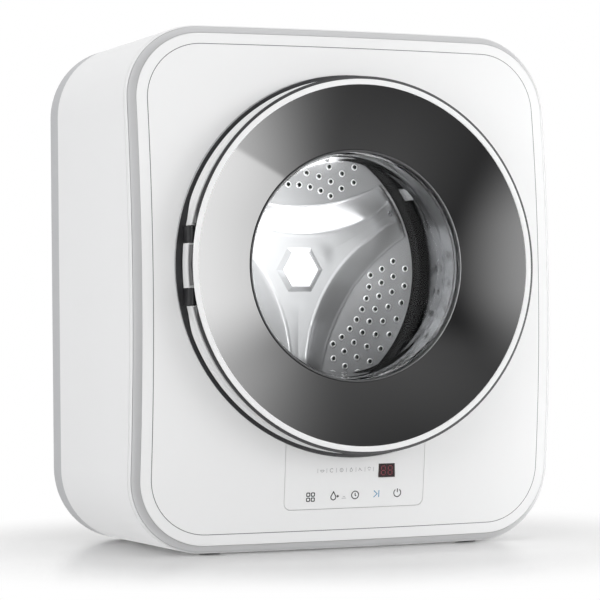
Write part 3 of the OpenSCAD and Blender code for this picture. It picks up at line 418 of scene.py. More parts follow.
# slot: colour, stretch, streak scale, streak, roughness, spread, smudge scale, bump
metalFinishes = {
    "zinc_sheet": ((0.52, 0.53, 0.55), (1, 1, 1), 240, 0.16, 0.42, 0.1, 22, 0.05),
    "brass_pin": ((0.6, 0.42, 0.14), (1, 0.1, 1), 900, 0.1, 0.25, 0.1, 40, 0.05),
    "screw_steel": ((0.55, 0.55, 0.57), (1, 1, 1), 700, 0.12, 0.28, 0.1, 60, 0.1),
    "cast_metal": ((0.4, 0.41, 0.42), (1, 1, 1), 500, 0.25, 0.5, 0.15, 30, 0.6),
    "bearing_steel": ((0.6, 0.61, 0.63), (1, 0.1, 1), 900, 0.06, 0.12, 0.05, 30, 0.02),
    "heater_metal": ((0.12, 0.1, 0.09), (0.2, 1, 1), 300, 0.4, 0.45, 0.2, 50, 0.3),
    "shaft_steel": ((0.5, 0.5, 0.52), (1, 0.1, 1), 800, 0.1, 0.24, 0.1, 40, 0.05),
    "magnet_metal": ((0.35, 0.35, 0.37), (1, 1, 1), 500, 0.1, 0.35, 0.1, 40, 0.1),
    "ring_chrome": ((0.1, 0.101, 0.103), (1, 1, 1), 900, 0.04, 0.3, 0.04, 20, 0.01),
    "drum_steel": ((0.8, 0.803, 0.81), (1, 1, 1), 420, 0.02, 0.26, 0.03, 9, 0.005),
    "rimSteel": ((0.95, 0.95, 0.95), (1, 1, 1), 420, 0.02, 0.3, 0.03, 9, 0.005),
    # the drum wall: a darker copy of the drum steel, painted shade for the shadowed wall
    "drumWallPaintedShadeSteel": ((0.34, 0.345, 0.355), (1, 0.2, 1), 420, 0.05, 0.16, 0.04, 12, 0.01),
}
# painted shade: the plate's rim beyond its step, and the drum wall towards the back
seamPaintedShades = {
    "drum_steel": {"Axis Height": zDoor * mm, "Radius From": 0.1615, "Radius To": 0.1645,
                   "Depth From": 0.04, "Depth To": 0.047, "Dark": 0.9},
    "drumWallPaintedShadeSteel": {"Axis Height": zDoor * mm, "Radius From": 0.15, "Radius To": 0.17,
                      "Depth From": -0.03, "Depth To": 0.045, "Dark": 0.85},
}
# polished drum sheet also scatters a good part of the light
metalShares = {"drum_steel": 0.72, "rimSteel": 0.35}

finishes = {}
for slotName, facts in mouldedFinishes.items():
    colour, tone, toneScale, rough, spread, grainScale, dust, bump, extra = facts
    finishes[slotName] = finishMaterial(
        slotName, finishGroup,
        {"Color": (*colour, 1), "Tone": tone, "Tone Scale": toneScale, "Roughness": rough,
         "Spread": spread, "Grain Scale": grainScale, "Dust": dust},
        extra, bump=bump)
for slotName, facts in metalFinishes.items():
    colour, stretch, streakScale, streak, rough, spread, smudgeScale, bump = facts
    finishes[slotName] = finishMaterial(
        slotName, brushGroup,
        {"Color": (*colour, 1), "Stretch": stretch, "Streak Scale": streakScale, "Streak": streak,
         "Roughness": rough, "Spread": spread, "Smudge Scale": smudgeScale},
        {"Metallic": metalShares.get(slotName, 1.0)}, bump=bump, seamPaintedShade=seamPaintedShades.get(slotName))


def clearGlass(name, colour, roughness, bend):
    # light passes straight through, so that what is behind stays lit
    material, tree = newMaterial(name)
    effect = addNode(tree, "ShaderNodeGroup", {
        "Color": (*colour, 1), "Tone": 0.01, "Tone Scale": 5.0, "Roughness": roughness,
        "Spread": 0.01, "Grain Scale": 300.0, "Dust": 0.0}, node_tree=finishGroup).outputs
    shade = addNode(tree, "ShaderNodeBsdfPrincipled", {
        "Base Color": effect["Color"], "Roughness": effect["Roughness"], "Transmission Weight": 1.0, "IOR": bend})
    through = addNode(tree, "ShaderNodeBsdfTransparent")
    shadow = addNode(tree, "ShaderNodeLightPath").outputs["Is Shadow Ray"]
    mixed = mixShaders(tree, shadow, shade.outputs[0], through.outputs[0])
    addNode(tree, "ShaderNodeOutputMaterial", {"Surface": mixed})
    return material


finishes["clear_glass"] = clearGlass("clear_glass", (0.97, 0.98, 0.985), 0.012, 1.2)

# nodes whose finish differs from their slot's
# the drum shell takes the darker copy of the drum steel, painted shade
nodeFinishes = {"drum_shell": "drumWallPaintedShadeSteel", "opening_collar": "black_plastic",
                "hinge_bracket": "black_plastic", "hinge_pin": "motor_metal"}
for part in record["subparts"]:
    node = nodes[part["node"]]
    node.data.materials.clear()
    node.data.materials.append(finishes[nodeFinishes.get(part["node"], part["material_slot"])])
print("materials ready:", len(finishes))


def finishPiece(name, mesh, slotName, body, replaced=(), sharpAngle=35):
    mesh.materials.append(finishes[slotName])
    for face in mesh.polygons:
        face.use_smooth = True
    mesh.set_sharp_from_angle(angle=math.radians(sharpAngle))
    piece = bpy.data.objects.new(name, mesh)
    scene.collection.objects.link(piece)
    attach(piece, body)
    if replaced:
        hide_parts(*replaced)
    return piece


def meshFrom(name, points, faces):
    mesh = bpy.data.meshes.new(name)
    mesh.from_pydata([tuple(c * mm for c in p) for p in points], [], faces)
    build = bmesh.new()
    build.from_mesh(mesh)
    bmesh.ops.remove_doubles(build, verts=build.verts, dist=1e-7)
    bmesh.ops.recalc_face_normals(build, faces=build.faces)
    build.to_mesh(mesh)
    build.free()
    return mesh


def gridFaces(rows, size, base=0, around=True, across=True):
    # quads between neighbouring rows of points, wrapping where asked
    faces = []
    for k in range(rows if around else rows - 1):
        here, there = base + k * size, base + (k + 1) % rows * size
        for j in range(size if across else size - 1):
            m = (j + 1) % size
            faces.append((here + j, there + j, there + m, here + m))
    return faces


def joined(shapes):
    # several shapes of points and faces as one
    points, faces = [], []
    for morePoints, moreFaces in shapes:
        base = len(points)
        points += morePoints
        faces += [tuple(base + i for i in face) for face in moreFaces]
    return points, faces


def eased(t):
    t = min(1.0, max(0.0, t))
    return t * t * (3 - 2 * t)


def softened(profile, radii, steps=4):
    # rounds each corner of a closed profile by its own radius
    made = []
    count = len(profile)
    for i, (here, radius) in enumerate(zip(profile, radii)):
        if radius <= 0:
            made.append(tuple(here))
            continue
        p = Vector(here)
        back = Vector(profile[i - 1]) - p
        ahead = Vector(profile[(i + 1) % count]) - p
        half = back.angle(ahead) / 2
        reach = min(radius / math.tan(half), back.length * 0.48, ahead.length * 0.48)
        a, b = p + back.normalized() * reach, p + ahead.normalized() * reach
        for k in range(steps + 1):
            t = k / steps
            q = a.lerp(p, t).lerp(p.lerp(b, t), t)
            made.append((q.x, q.y))
    return made


arcStep = 1.2  # degrees between the sections of a part turn
flush = 0.2  # how far inside the door's edge a part turn starts to fade


def turnedArc(profile, start, end, taper):
    # capped part turn about the door axis, as points and faces, what stands out fading at both ends
    steps = max(8, int(abs(end - start) / arcStep))
    points = []
    size = len(profile)
    for k in range(steps + 1):
        turn = start + (end - start) * k / steps
        a = math.radians(turn)
        fade = eased(min(turn - start, end - turn) / taper) if taper else 1.0
        for r, y in profile:
            out = min(r, doorRadius - flush) + max(0.0, r - doorRadius + flush) * fade
            points.append((out * math.cos(a), y, zDoor + out * math.sin(a)))
    faces = gridFaces(steps + 1, size, around=False)
    faces.append(tuple(range(size)))
    faces.append(tuple(steps * size + j for j in reversed(range(size))))
    return points, faces


def arcsMesh(name, profile, spans, tapers=(0.0, 0.0)):
    shapes = [turnedArc(profile, start, end, taper) for (start, end), taper in zip(spans, tapers)]
    return meshFrom(name, *joined(shapes))


def turned(name, profile, steps=256):
    # body of revolution about the door and drum axis, from [radius, y] points
    points = []
    size = len(profile)
    for k in range(steps):
        a = 2 * math.pi * k / steps
        points += [(r * math.cos(a), y, zDoor + r * math.sin(a)) for r, y in profile]
    onAxis = [r < 1e-6 for r, y in profile]
    faces = [face for face in gridFaces(steps, size) if not (onAxis[face[0] % size] and onAxis[face[3] % size])]
    return meshFrom(name, points, faces)


crown = {"rise": 23.4, "reach": 290.0, "edge": -120.0}
crownRadius = (crown["reach"] ** 2 + crown["rise"] ** 2) / (2 * crown["rise"])


def crownY(x, z):
    return crown["edge"] - crown["rise"] + crownRadius - math.sqrt(
        crownRadius ** 2 - x * x - (z - zBody) ** 2)


def outlinePoints(inset, cornerRadius=88.0, cornerSteps=28, sideSteps=24):
    # points round the body outline, set in by a distance
    made = []
    halfW, halfH = bodyWidth / 2 - cornerRadius, bodyHeight / 2 - cornerRadius
    radius = cornerRadius - inset
    centres = [(halfW, halfH), (-halfW, halfH), (-halfW, -halfH), (halfW, -halfH)]
    for k, (cx, cz) in enumerate(centres):
        for i in range(cornerSteps + 1):
            a = math.radians(90 * k + 90 * i / cornerSteps)
            made.append((cx + radius * math.cos(a), zBody + cz + radius * math.sin(a)))
        nx, nz = centres[(k + 1) % 4]
        a = math.radians(90 * (k + 1))
        start = (cx + radius * math.cos(a), cz + radius * math.sin(a))
        end = (nx + radius * math.cos(a), nz + radius * math.sin(a))
        for i in range(1, sideSteps):
            t = i / sideSteps
            made.append((start[0] + (end[0] - start[0]) * t, zBody + start[1] + (end[1] - start[1]) * t))
    return made


def crownRing(name, section):
    # ring that follows the outline and the crown, from [inset, depth] points
    rows = [[(x, crownY(x, z) + depth, z) for x, z in outlinePoints(inset)] for inset, depth in section]
    points = [p for row in rows for p in row]
    return meshFrom(name, points, [(a, d, c, b) for a, b, c, d in gridFaces(len(rows), len(rows[0]))])


bevel = {"inset": 9.3, "depth": 10.5, "bulge": 0.9, "greyShare": 0.76}


def makeBevel(facts):
    def onBevel(t):
        swell = facts["bulge"] * math.sin(math.pi * t)
        return (max(facts["inset"] * (1 - t) - swell * 0.7, 0.0), max(facts["depth"] * t - swell * 0.7, 0.02))

    share = facts["greyShare"]
    grey = [onBevel(share * k / 7) for k in range(8)]
    grey += [(grey[-1][0] + 0.5, grey[-1][1] + 0.5), (grey[-1][0] + 1.5, grey[-1][1] + 0.6), (facts["inset"], 3.0)]
    finishPiece("bevel_ring", crownRing("bevel_ring", grey), "bevel_grey", "cabinet", ["front_bevel_ring"])
    # white strip between the grey bevel and the casing
    white = [onBevel(share + 0.04 + (0.96 - share) * k / 4) for k in range(5)]
    deep = facts["depth"] + 0.2
    white += [(0.0, deep), (2.6, deep), (white[0][0] + 0.7, white[0][1] + 0.9)]
    finishPiece("bevel_edge_strip", crownRing("bevel_edge_strip", white), "casing_paint", "cabinet")


makeBevel(bevel)
# dark strip over the panel seam, wider than the gap: painted shadow
panelSeamPaintedShadow = [(21.7, -0.02), (22.5, -0.02), (22.4, 1.2), (21.8, 1.2)]  # shadow line round the front panel
finishPiece("panel_seam_painted_shadow", crownRing("panel_seam_painted_shadow", panelSeamPaintedShadow), "groove_grey", "cabinet")
print("bevel ring made")

door = {"bezelWidth": 9.0, "bezelThick": 3.0, "bezelShown": 1.7, "bezelTrim": 2.4, "edgeOut": 3.0,
        "grooveDeep": 13.0, "grooveIn": 0.4, "lipOut": 3.0, "glassThick": 3.0, "windowRadius": 134.0,
        "dishCurve": 0.14, "dishSteps": 20, "bowlRadius": 129.0, "bowlDeep": 41.0,
        # degrees that the edge pieces cover: the short arc lies between the hinge arms, and its seal
        # stays low so that it clears the body when the door is open
        "hingeSpans": ((-167.4, 167.4), (173.9, 186.1)), "sealTapers": (4.0, 12.0), "lipTapers": (9.0,)}
bezelIn = doorRadius - door["bezelWidth"]


def makeDoor(facts):
    yFront = yDoor
    yBezelBack = yFront + facts["bezelThick"]
    yShown = yFront + facts["bezelShown"]
    bezelEdge = bezelIn + facts["bezelTrim"]
    bezelShape = [(bezelEdge, yFront), (doorRadius - 0.3, yFront), (doorRadius - 0.3, yShown), (bezelEdge, yShown)]
    finishPiece("door_bezel_ring", turned("door_bezel_ring", softened(bezelShape, [0, 1.0, 0.2, 0], 6)),
                "door_white", "door", ["door_bezel"])
    thick = facts["glassThick"]
    window = facts["windowRadius"]
    # dark seal behind the bezel, grey recess and white rear lip, open where the hinge arms reach in
    yGroove, yFrame = yBezelBack, yBezelBack + facts["grooveDeep"]
    outer = doorRadius + facts["edgeOut"]
    seal = softened([(bezelIn + 3, yShown + 0.02), (outer, yShown + 0.02), (outer, yGroove - 0.1),
                     (bezelIn + 3, yGroove - 0.1)], [0, 0.4, 0.4, 0], 3)
    finishPiece("door_edge_seal", arcsMesh("door_edge_seal", seal, facts["hingeSpans"], facts["sealTapers"]),
                "gasket_rubber", "door")
    grooveOuter = doorRadius - facts["grooveIn"]
    recess = [(bezelIn, yGroove), (grooveOuter - 1.6, yGroove), (grooveOuter - 1.6, yGroove + 1.0),
              (grooveOuter, yGroove + 1.6), (grooveOuter, yFrame - 2.0), (grooveOuter - 1.8, yFrame - 1.4),
              (grooveOuter - 1.8, yFrame - 0.05), (bezelIn, yFrame - 0.05)]
    finishPiece("door_shadow_groove", arcsMesh("door_shadow_groove", recess, facts["hingeSpans"]),
                "groove_grey", "door", ["door_groove_ring"])
    lip = softened([(doorRadius - 0.4, yDoorBack - 4.5), (doorRadius + facts["lipOut"], yDoorBack - 1.4),
                    (doorRadius + facts["lipOut"], yDoorBack - 0.1), (doorRadius - 0.4, yDoorBack - 0.1)],
                   [0, 0.5, 0.3, 0], 3)
    finishPiece("door_frame_lip", arcsMesh("door_frame_lip", lip, facts["hingeSpans"][:1], facts["lipTapers"]),
                "door_white", "door")
    # the dished glass steepens towards its rim
    dish = []
    for k in range(facts["dishSteps"] + 1):
        t = k / facts["dishSteps"]
        way = t + facts["dishCurve"] * (t * t - t)
        dish.append((window + (bezelEdge + 0.8 - window) * t, yRing + (yFront + 1.2 - yRing) * way))
    glassShape = dish + [(r, y + thick) for r, y in reversed(dish)]
    finishPiece("door_tinted_glass", turned("door_tinted_glass", glassShape, 360),
                "smoked_glass", "door", ["door_glass"], sharpAngle=50)
    ringShape = [(window - 3, yRing - 1), (window - 0.3, yRing - 1), (window - 0.3, yRing + thick),
                 (window + 4, yRing + thick + 1), (window + 4, yDoorBack), (window, yDoorBack),
                 (window, yRing + thick + 3.5), (window - 3, yRing + thick + 3.5)]
    finishPiece("door_ring_trim", turned("door_ring_trim", softened(ringShape, [0.9, 0.9, 0, 0, 0.8, 0.8, 0, 0])),
                "ring_chrome", "door", ["door_window_ring"])
    # clear bowl with a rounded shoulder
    flange = yRing + thick + 3.8
    end = yRing + facts["bowlDeep"]
    bowl = facts["bowlRadius"]
    bowlShape = [(window - 0.3, flange), (window - 0.3, flange + thick), (window - 3.2, flange + thick),
                 (bowl + 3, end - 4), (bowl - 3, end + 1), (0, end + 2), (0, end - 1), (bowl - 6, end - 2),
                 (bowl, end - 6), (window - 6, flange)]
    finishPiece("window_bowl_clear",
                turned("window_bowl_clear", softened(bowlShape, [0.8, 0.8, 2, 7, 7, 0, 0, 5, 5, 1], 6)),
                "clear_glass", "door", ["window_bowl"], sharpAngle=60)


makeDoor(door)
print("door made")

star = {"tall": 20.0, "sheet": 1.2, "hub": 22.3, "tip": 158.0, "tipScrew": 146.0, "turn": 88.5, "ridgeAway": 235.0,
        "ridgeRadius": 193.0, "footAway": 321.0, "footRadius": 242.0, "fallFrom": 105.0, "tipTall": 6.0,
        "tipFade": 7.0, "bead": 0.7, "beadWidth": 1.5, "beadEnd": (140.0, 155.0), "dish": 1.6, "dishWidth": 26.0,
        "dishStart": (34.0, 54.0), "angles": 720, "rows": 56,
        "screwRadius": 3.6, "screwTall": 2.4, "screwSunk": 0.3}


def ramp(t, round=0.12):
    # straight fall from 1 to 0 with small rounds at both ends
    t = min(1.0, max(0.0, t))
    if t < round:
        return 1 - t * t / (2 * round * (1 - round))
    if t > 1 - round:
        return (1 - t) ** 2 / (2 * round * (1 - round))
    return 1 - (t - round / 2) / (1 - round)


def starHeight(facts, x, z):
    # height of the pressed star above the back plate, ridge and foot being arcs of circles
    r = math.hypot(x, z)
    fall = eased((r - facts["fallFrom"]) / (facts["tip"] - facts["fallFrom"]))
    top = facts["tall"] - (facts["tall"] - facts["tipTall"]) * fall
    top *= 1 - eased((r - facts["tip"] + facts["tipFade"]) / facts["tipFade"]) * 0.8
    slope, nearest = 0.0, -1e9
    for k in range(3):
        a = math.radians(facts["turn"] + 120 * k)
        c, w = math.cos(a), math.sin(a)
        inside = facts["ridgeRadius"] - math.hypot(x - facts["ridgeAway"] * c, z - facts["ridgeAway"] * w)
        outside = math.hypot(x - facts["footAway"] * c, z - facts["footAway"] * w) - facts["footRadius"]
        nearest = max(nearest, inside)
        if inside > 0:
            slope = max(slope, inside / (inside + outside) if outside > 0 else 1.0)
    begin, full = facts["dishStart"]
    dished = facts["dish"] * eased(-nearest / facts["dishWidth"]) * eased((r - begin) / (full - begin))
    bead = facts["bead"] * math.exp(-(nearest / facts["beadWidth"]) ** 2)
    tall = facts["sheet"] + (top - facts["sheet"]) * ramp(slope)
    begin, full = facts["beadEnd"]
    return tall - dished + bead * (1 - eased((r - begin) / (full - begin)))


def starEdge(facts, angle):
    # where the star meets the plate, along a ray from the axis
    edge = facts["tip"]
    for k in range(3):
        a = math.radians(facts["turn"] + 120 * k)
        along = facts["footAway"] * math.cos(angle - a)
        left = along * along - facts["footAway"] ** 2 + facts["footRadius"] ** 2
        if along > 0 and left >= 0:
            edge = min(edge, along - math.sqrt(left))
    return edge


def makeStar(facts):
    points = []
    count, size = facts["angles"], facts["rows"] + 1
    for k in range(count):
        a = 2 * math.pi * k / count
        edge = starEdge(facts, a)
        for j in range(size):
            r = facts["hub"] + (edge - facts["hub"]) * j / (size - 1)
            x, z = r * math.cos(a), r * math.sin(a)
            points.append((x, yPlate - starHeight(facts, x, z), zDoor + z))
    mesh = meshFrom("drum_star_form", points, gridFaces(count, size, across=False))
    piece = finishPiece("drum_star_form", mesh, "drum_steel", "drum", ["drum_star"], sharpAngle=50)
    wall = piece.modifiers.new("sheet", "SOLIDIFY")
    wall.thickness = facts["sheet"] * mm * 0.8
    wall.offset = -1


makeStar(star)

holes = {"radius": 2.4, "rim": 4.2, "proud": 1.0, "first": 104.7, "pitch": 15.9, "step": 8.05,
         "counts": (8, 9, 10, 9), "sides": 20}


def makeHoleRims(facts):
    # pressed rims round the holes of the back plate, and near-black sleeves inside them that paint the shade in the
    # holes
    rim = [(facts["radius"], 0.1), (facts["radius"], -0.45), (facts["radius"] + 0.35, -facts["proud"]),
           (facts["radius"] + 0.8, -facts["proud"]), (facts["rim"] - 0.35, -0.3), (facts["rim"], 0.02)]
    shadeSleeve = [(facts["radius"] + 0.25, 3.0), (facts["radius"] - 0.12, 2.9), (facts["radius"] - 0.12, -0.3),
              (facts["radius"] + 0.25, -0.3)]
    for name, section, finish, closed in (("drum_hole_rims", rim, "rimSteel", False),
                                          ("drum_hole_painted_shade", shadeSleeve, "holeThroatPaintedShade", True)):
        points, faces = holeRings(facts, section, closed)
        finishPiece(name, meshFrom(name, points, faces), finish, "drum")


def holeRings(facts, section, closed):
    points, faces = [], []
    sides = facts["sides"]
    for arm in range(3):
        for ring, count in enumerate(facts["counts"]):
            for k in range(count):
                r = facts["first"] + facts["pitch"] * ring
                a = math.radians(star["turn"] + 120 * arm + (k - (count - 1) / 2) * facts["step"])
                if r < starEdge(star, a) + facts["radius"]:
                    continue
                cx, cz = r * math.cos(a), zDoor + r * math.sin(a)
                base = len(points)
                for n in range(sides):
                    b = 2 * math.pi * n / sides
                    points += [(cx + q * math.cos(b), yPlate + h, cz + q * math.sin(b)) for q, h in section]
                faces += gridFaces(sides, len(section), base, across=closed)
    return points, faces


makeHoleRims(holes)

hub = {"face": 24.0, "skirt": 31.0, "tall": 5.0, "lip": 0.9, "recess": 0.5}


def hexRing(name, profile, closed):
    # six-sided form about the axis, from [corner radius, y] points
    points = []
    size = len(profile)
    for k in range(6):
        a = math.radians(60 * k)
        points += [(r * math.cos(a), y, zDoor + r * math.sin(a)) for r, y in profile]
    faces = gridFaces(6, size, across=closed)
    if not closed:
        faces.append(tuple(k * size for k in range(6)))
        faces.append(tuple(k * size + size - 1 for k in reversed(range(6))))
    return meshFrom(name, points, faces)


def makeHub(facts):
    # white hexagon set in sloping steel facets
    yBack = yPlate - star["tall"] - 0.3
    yFront = yBack - facts["tall"]
    face, lip = facts["face"], facts["lip"]
    skirt = [(face - lip, yFront + 1.6), (face - lip, yFront + 0.3), (face - lip + 0.3, yFront),
             (face + 0.1, yFront), (face + 0.5, yFront + 0.35), (facts["skirt"], yBack - 0.35),
             (facts["skirt"], yBack), (facts["skirt"] - 3, yBack)]
    finishPiece("hub_facets", hexRing("hub_facets", skirt, True), "drum_steel", "drum", sharpAngle=20)
    yFace = yFront + facts["recess"]
    cap = [(face - lip - 1.4, yFace - 0.12), (face - lip - 0.6, yFace), (face - lip - 0.15, yFace + 0.4),
           (face - lip - 0.15, yFace + 2.2), (20.0, yPlate - 0.2)]
    finishPiece("hub_hex_cap", hexRing("hub_hex_cap", cap, False), "hub_white", "drum", ["hub_cap"], sharpAngle=20)


makeHub(hub)
print("drum made")


# shares of a head's radius and height
headShape = {"arm": 0.62, "across": 0.13, "floor": 0.35, "dome": ((0.8, 1.0), (0.94, 0.82), (1.0, 0.5), (1.0, 0.0))}


def crossHead(cx, cy, cz, radius, tall, facing):
    # pan head with a cross recess, standing on a plane and facing along the depth axis
    points = []
    arms, across = headShape["arm"] * radius, headShape["across"] * radius
    cross = []
    for k in range(4):
        c, w = math.cos(math.pi / 2 * k), math.sin(math.pi / 2 * k)
        for u, v in ((arms, -across), (arms, across), (across, across)):
            cross.append((u * c - v * w, u * w + v * c))
    ring = [math.atan2(v, u) for u, v in cross]
    rows = [[(u, v, level) for u, v in cross] for level in (headShape["floor"], 1.0)]
    for scale, high in headShape["dome"]:
        rows.append([(radius * scale * math.cos(a), radius * scale * math.sin(a), high) for a in ring])
    for row in rows:
        points += [(cx + u, cy + facing * tall * h, cz + v) for u, v, h in row]
    count = len(cross)
    faces = [(a, d, c, b) for a, b, c, d in gridFaces(len(rows), count, around=False)]
    faces.append(tuple(range(count)))
    faces.append(tuple((len(rows) - 1) * count + k for k in reversed(range(count))))
    return points, faces


def screwSet(name, heads, body, replaced):
    points, faces = joined([crossHead(*head) for head in heads])
    finishPiece(name, meshFrom(name, points, faces), "screw_steel", body, replaced, sharpAngle=30)


def headsOf(nodeName):
    # a head for each separate solid in a node: middle, radius, height and facing
    build = bmesh.new()
    build.from_mesh(nodes[nodeName].data)
    reached, heads = set(), []
    for first in build.verts:  # in the mesh's own order, so that every run gives the same heads
        if first in reached:
            continue
        reached.add(first)
        stack, found = [first], [first]
        while stack:
            for edge in stack.pop().link_edges:
                for vert in edge.verts:
                    if vert not in reached:
                        reached.add(vert)
                        stack.append(vert)
                        found.append(vert)
        low = Vector([min(v.co[i] for v in found) for i in range(3)])
        high = Vector([max(v.co[i] for v in found) for i in range(3)])
        middle, low, high = (low + high) / 2 / mm, low / mm, high / mm
        heads.append((middle.x, low.y, middle.z, (high.x - low.x) / 2, high.y - low.y, 1))
    build.free()
    return heads


rearHeads, doorHeads = headsOf("cabinet_screws"), headsOf("door_screws")
screwSet("rear_screw_heads", rearHeads, "cabinet", ["cabinet_screws"])
screwSet("door_screw_heads", doorHeads, "door", ["door_screws"])
tipHeads = []
for k in range(3):
    a = math.radians(star["turn"] + 60 + 120 * k)
    x, z = star["tipScrew"] * math.cos(a), star["tipScrew"] * math.sin(a)
    y = yPlate - starHeight(star, x, z) + star["screwSunk"]
    tipHeads.append((x, y, zDoor + z, star["screwRadius"], star["screwTall"], -1))
screwSet("star_tip_screws", tipHeads, "drum", [])
print("screws made:", len(rearHeads) + len(doorHeads))

printed = {
    # name: colour, roughness
    "printGrey": ((0.014, 0.014, 0.016), 0.4),
    "printFaint": ((0.36, 0.36, 0.37), 0.4),
    "printBlue": ((0.05, 0.26, 0.46), 0.35),
    "segmentRed": ((0.2, 0.035, 0.05), 0.3),
}
for printName, (colour, rough) in printed.items():
    finishes[printName] = finishMaterial(
        printName, finishGroup,
        {"Color": (*colour, 1), "Tone": 0.05, "Tone Scale": 60.0, "Roughness": rough, "Spread": 0.05,
         "Grain Scale": 2500.0, "Dust": 0.01}, {"Specular IOR Level": 0.4}, bump=0.05)


def frontOf(nodeName):
    # gives the depth of a node's front face at a place on the front
    mesh = nodes[nodeName].data
    tree = BVHTree.FromPolygons([v.co.copy() for v in mesh.vertices], [tuple(p.vertices) for p in mesh.polygons])

    def depthAt(x, z):
        hit = tree.ray_cast(Vector((x * mm, -2.0, z * mm)), Vector((0, 1, 0)))[0]
        return hit.y / mm
    return depthAt


def arc(cx, cz, radius, start, end, steps=24):
    return [(cx + radius * math.cos(math.radians(start + (end - start) * k / steps)),
             cz + radius * math.sin(math.radians(start + (end - start) * k / steps))) for k in range(steps + 1)]


def roundSquare(cx, cz, half, corner):
    line = []
    for k, (sx, sz) in enumerate([(1, 1), (-1, 1), (-1, -1), (1, -1)]):
        line += arc(cx + sx * (half - corner), cz + sz * (half - corner), corner, 90 * k, 90 * k + 90, 4)
    return line + line[:1]


def dropLine(cx, cz, tall):
    r = tall * 0.33
    line = arc(cx, cz - tall * 0.17, r, -215, 35, 24)
    return [(cx, cz + tall * 0.5)] + line[::-1] + [(cx, cz + tall * 0.5)]


def strokePiece(name, lines, width, finishName, depthAt, proud=0.1):
    # thin flat strokes laid on a surface, each with its own side walls
    points, faces = [], []
    half = width / 2
    for line in lines:
        closed = math.dist(line[0], line[-1]) < 1e-6
        path = line[:-1] if closed else line
        count = len(path)
        base = len(points)
        for k, (x, z) in enumerate(path):
            back = path[k - 1] if closed or k > 0 else None
            ahead = path[(k + 1) % count] if closed or k < count - 1 else None
            a = Vector((x - back[0], z - back[1])).normalized() if back else None
            b = Vector((ahead[0] - x, ahead[1] - z)).normalized() if ahead else None
            along = ((a if a else b) + (b if b else a)).normalized()
            side = Vector((-along.y, along.x))
            stretch = 1 / max(0.5, side.dot(Vector((-b.y, b.x))) if a and b else 1.0)
            for sign, level in ((1, 1), (1, 0), (-1, 0), (-1, 1)):
                px, pz = x + side.x * half * stretch * sign, z + side.y * half * stretch * sign
                y = depthAt(px, pz) + (0.12 if level else -proud)
                points.append((px, y, pz))
        faces += gridFaces(count, 4, base, around=closed)
        if not closed:
            faces.append(tuple(base + j for j in range(4)))
            faces.append(tuple(base + (count - 1) * 4 + j for j in reversed(range(4))))
    mesh = meshFrom(name, points, faces)
    mesh.materials.append(finishes[finishName])
    piece = bpy.data.objects.new(name, mesh)
    scene.collection.objects.link(piece)
    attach(piece, "cabinet")


controls = {"keysLow": 239.0, "iconsLow": 209.0, "stroke": 1.2, "fine": 0.6,
            "ticks": (-48.2, -37.0, -24.8, -12.3, -0.4, 11.1, 22.1)}


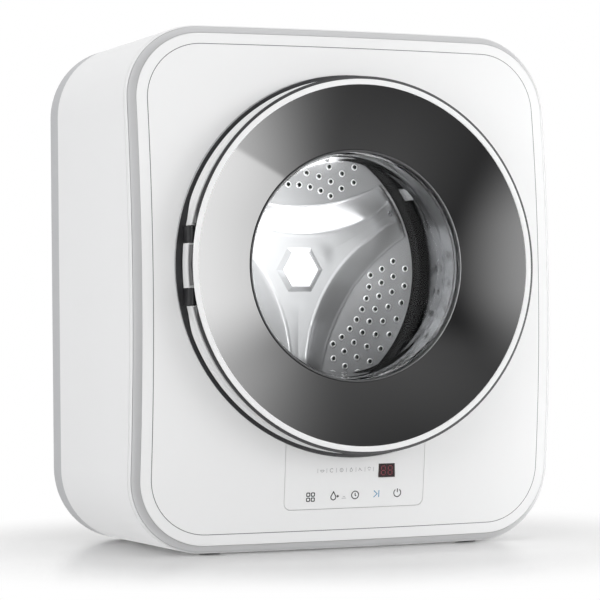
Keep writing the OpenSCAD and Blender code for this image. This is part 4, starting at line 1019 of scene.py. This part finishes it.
def makeControls(facts):
    onPanel = frontOf("control_panel")
    z = zBody - facts["keysLow"]
    squares = [roundSquare(-56.0 + sx * 2.9, z + sz * 2.9, 1.9, 0.8)
               for sx, sz in ((-1, 1), (1, 1), (-1, -1), (1, -1))]
    strokePiece("key_programme", squares, facts["stroke"], "printGrey", onPanel)
    plus = [[(-23.6, z), (-20.6, z)], [(-22.1, z - 1.5), (-22.1, z + 1.5)]]
    strokePiece("key_dry_level", [dropLine(-27.6, z + 0.6, 9.4)] + plus, facts["stroke"], "printGrey", onPanel)
    steps = [[(-17.0, z - 2.6), (-11.4, z - 2.6)], [(-15.6, z - 0.6), (-12.8, z - 0.6)]]
    strokePiece("key_small_mark", steps, facts["fine"], "printFaint", onPanel)
    clock = [arc(-0.2, z + 0.6, 4.4, 0, 360, 36), [(-0.2, z + 3.0), (-0.2, z + 0.4), (1.2, z - 0.6)]]
    strokePiece("key_timer", clock, facts["stroke"], "printGrey", onPanel)
    start = [[(23.6, z + 4.9), (28.0, z + 1.0), (23.6, z - 2.9)], [(30.2, z + 5.0), (30.2, z - 3.0)]]
    strokePiece("key_start", start, 1.0, "printBlue", onPanel)
    power = [arc(54.2, z + 1.2, 4.5, 125, 415, 32), [(54.2, z + 6.2), (54.2, z + 1.8)]]
    strokePiece("key_power", power, facts["stroke"], "printGrey", onPanel)
    # row of small programme symbols between ticks
    z = zBody - facts["iconsLow"]
    ticks = [[(x, z - 2.6), (x, z + 2.6)] for x in facts["ticks"]]
    strokePiece("programme_ticks", ticks, 0.4, "printFaint", onPanel)
    middles = [(a + b) / 2 for a, b in zip(facts["ticks"], facts["ticks"][1:])]
    icons = [
        [arc(middles[0], z + 0.6, 2.2, 180, 360, 14), [(middles[0] - 2.2, z + 0.6), (middles[0] + 2.2, z + 0.6)]],
        [arc(middles[1], z, 2.1, 40, 320, 16)],
        [arc(middles[2], z, 1.9, 0, 360, 20), [(middles[2], z - 0.7), (middles[2], z + 0.7)]],
        [dropLine(middles[3], z, 4.4)],
        [[(middles[4] - 2.2, z - 1.6), (middles[4] - 1.0, z + 1.6), (middles[4] + 0.4, z - 0.6),
          (middles[4] + 2.2, z - 1.6)]],
        [arc(middles[5], z, 2.2, 20, 160, 10), arc(middles[5], z, 1.2, 200, 340, 8)],
    ]
    strokePiece("programme_symbols", [line for icon in icons for line in icon], facts["fine"],
                "printFaint", onPanel)


makeControls(controls)

digits = {"wide": 5.0, "tall": 10.0, "pitch": 8.6, "bar": 1.0, "lean": 0.06, "gap": 0.7, "proud": 0.04}


def makeDigits(facts):
    # two seven-segment figures behind the dark lens
    low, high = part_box("display_window")
    cx, cz = (low.x + high.x) / 2 / mm, (low.z + high.z) / 2 / mm
    onLens = frontOf("display_window")
    w, h, g = facts["wide"] / 2, facts["tall"] / 2, facts["gap"]
    lines = []
    for k in (-0.5, 0.5):
        x = cx + k * facts["pitch"]
        flat = [((-w + g, level), (w - g, level)) for level in (h, 0, -h)]
        upright = [((side, low), (side, low + h - 2 * g)) for low in (g, -h + g) for side in (-w, w)]
        for bar in flat + upright:
            lines.append([(x + px + pz * facts["lean"], cz + pz) for px, pz in bar])
    strokePiece("display_figures", lines, facts["bar"], "segmentRed", onLens, facts["proud"])


makeDigits(digits)
print("controls made")
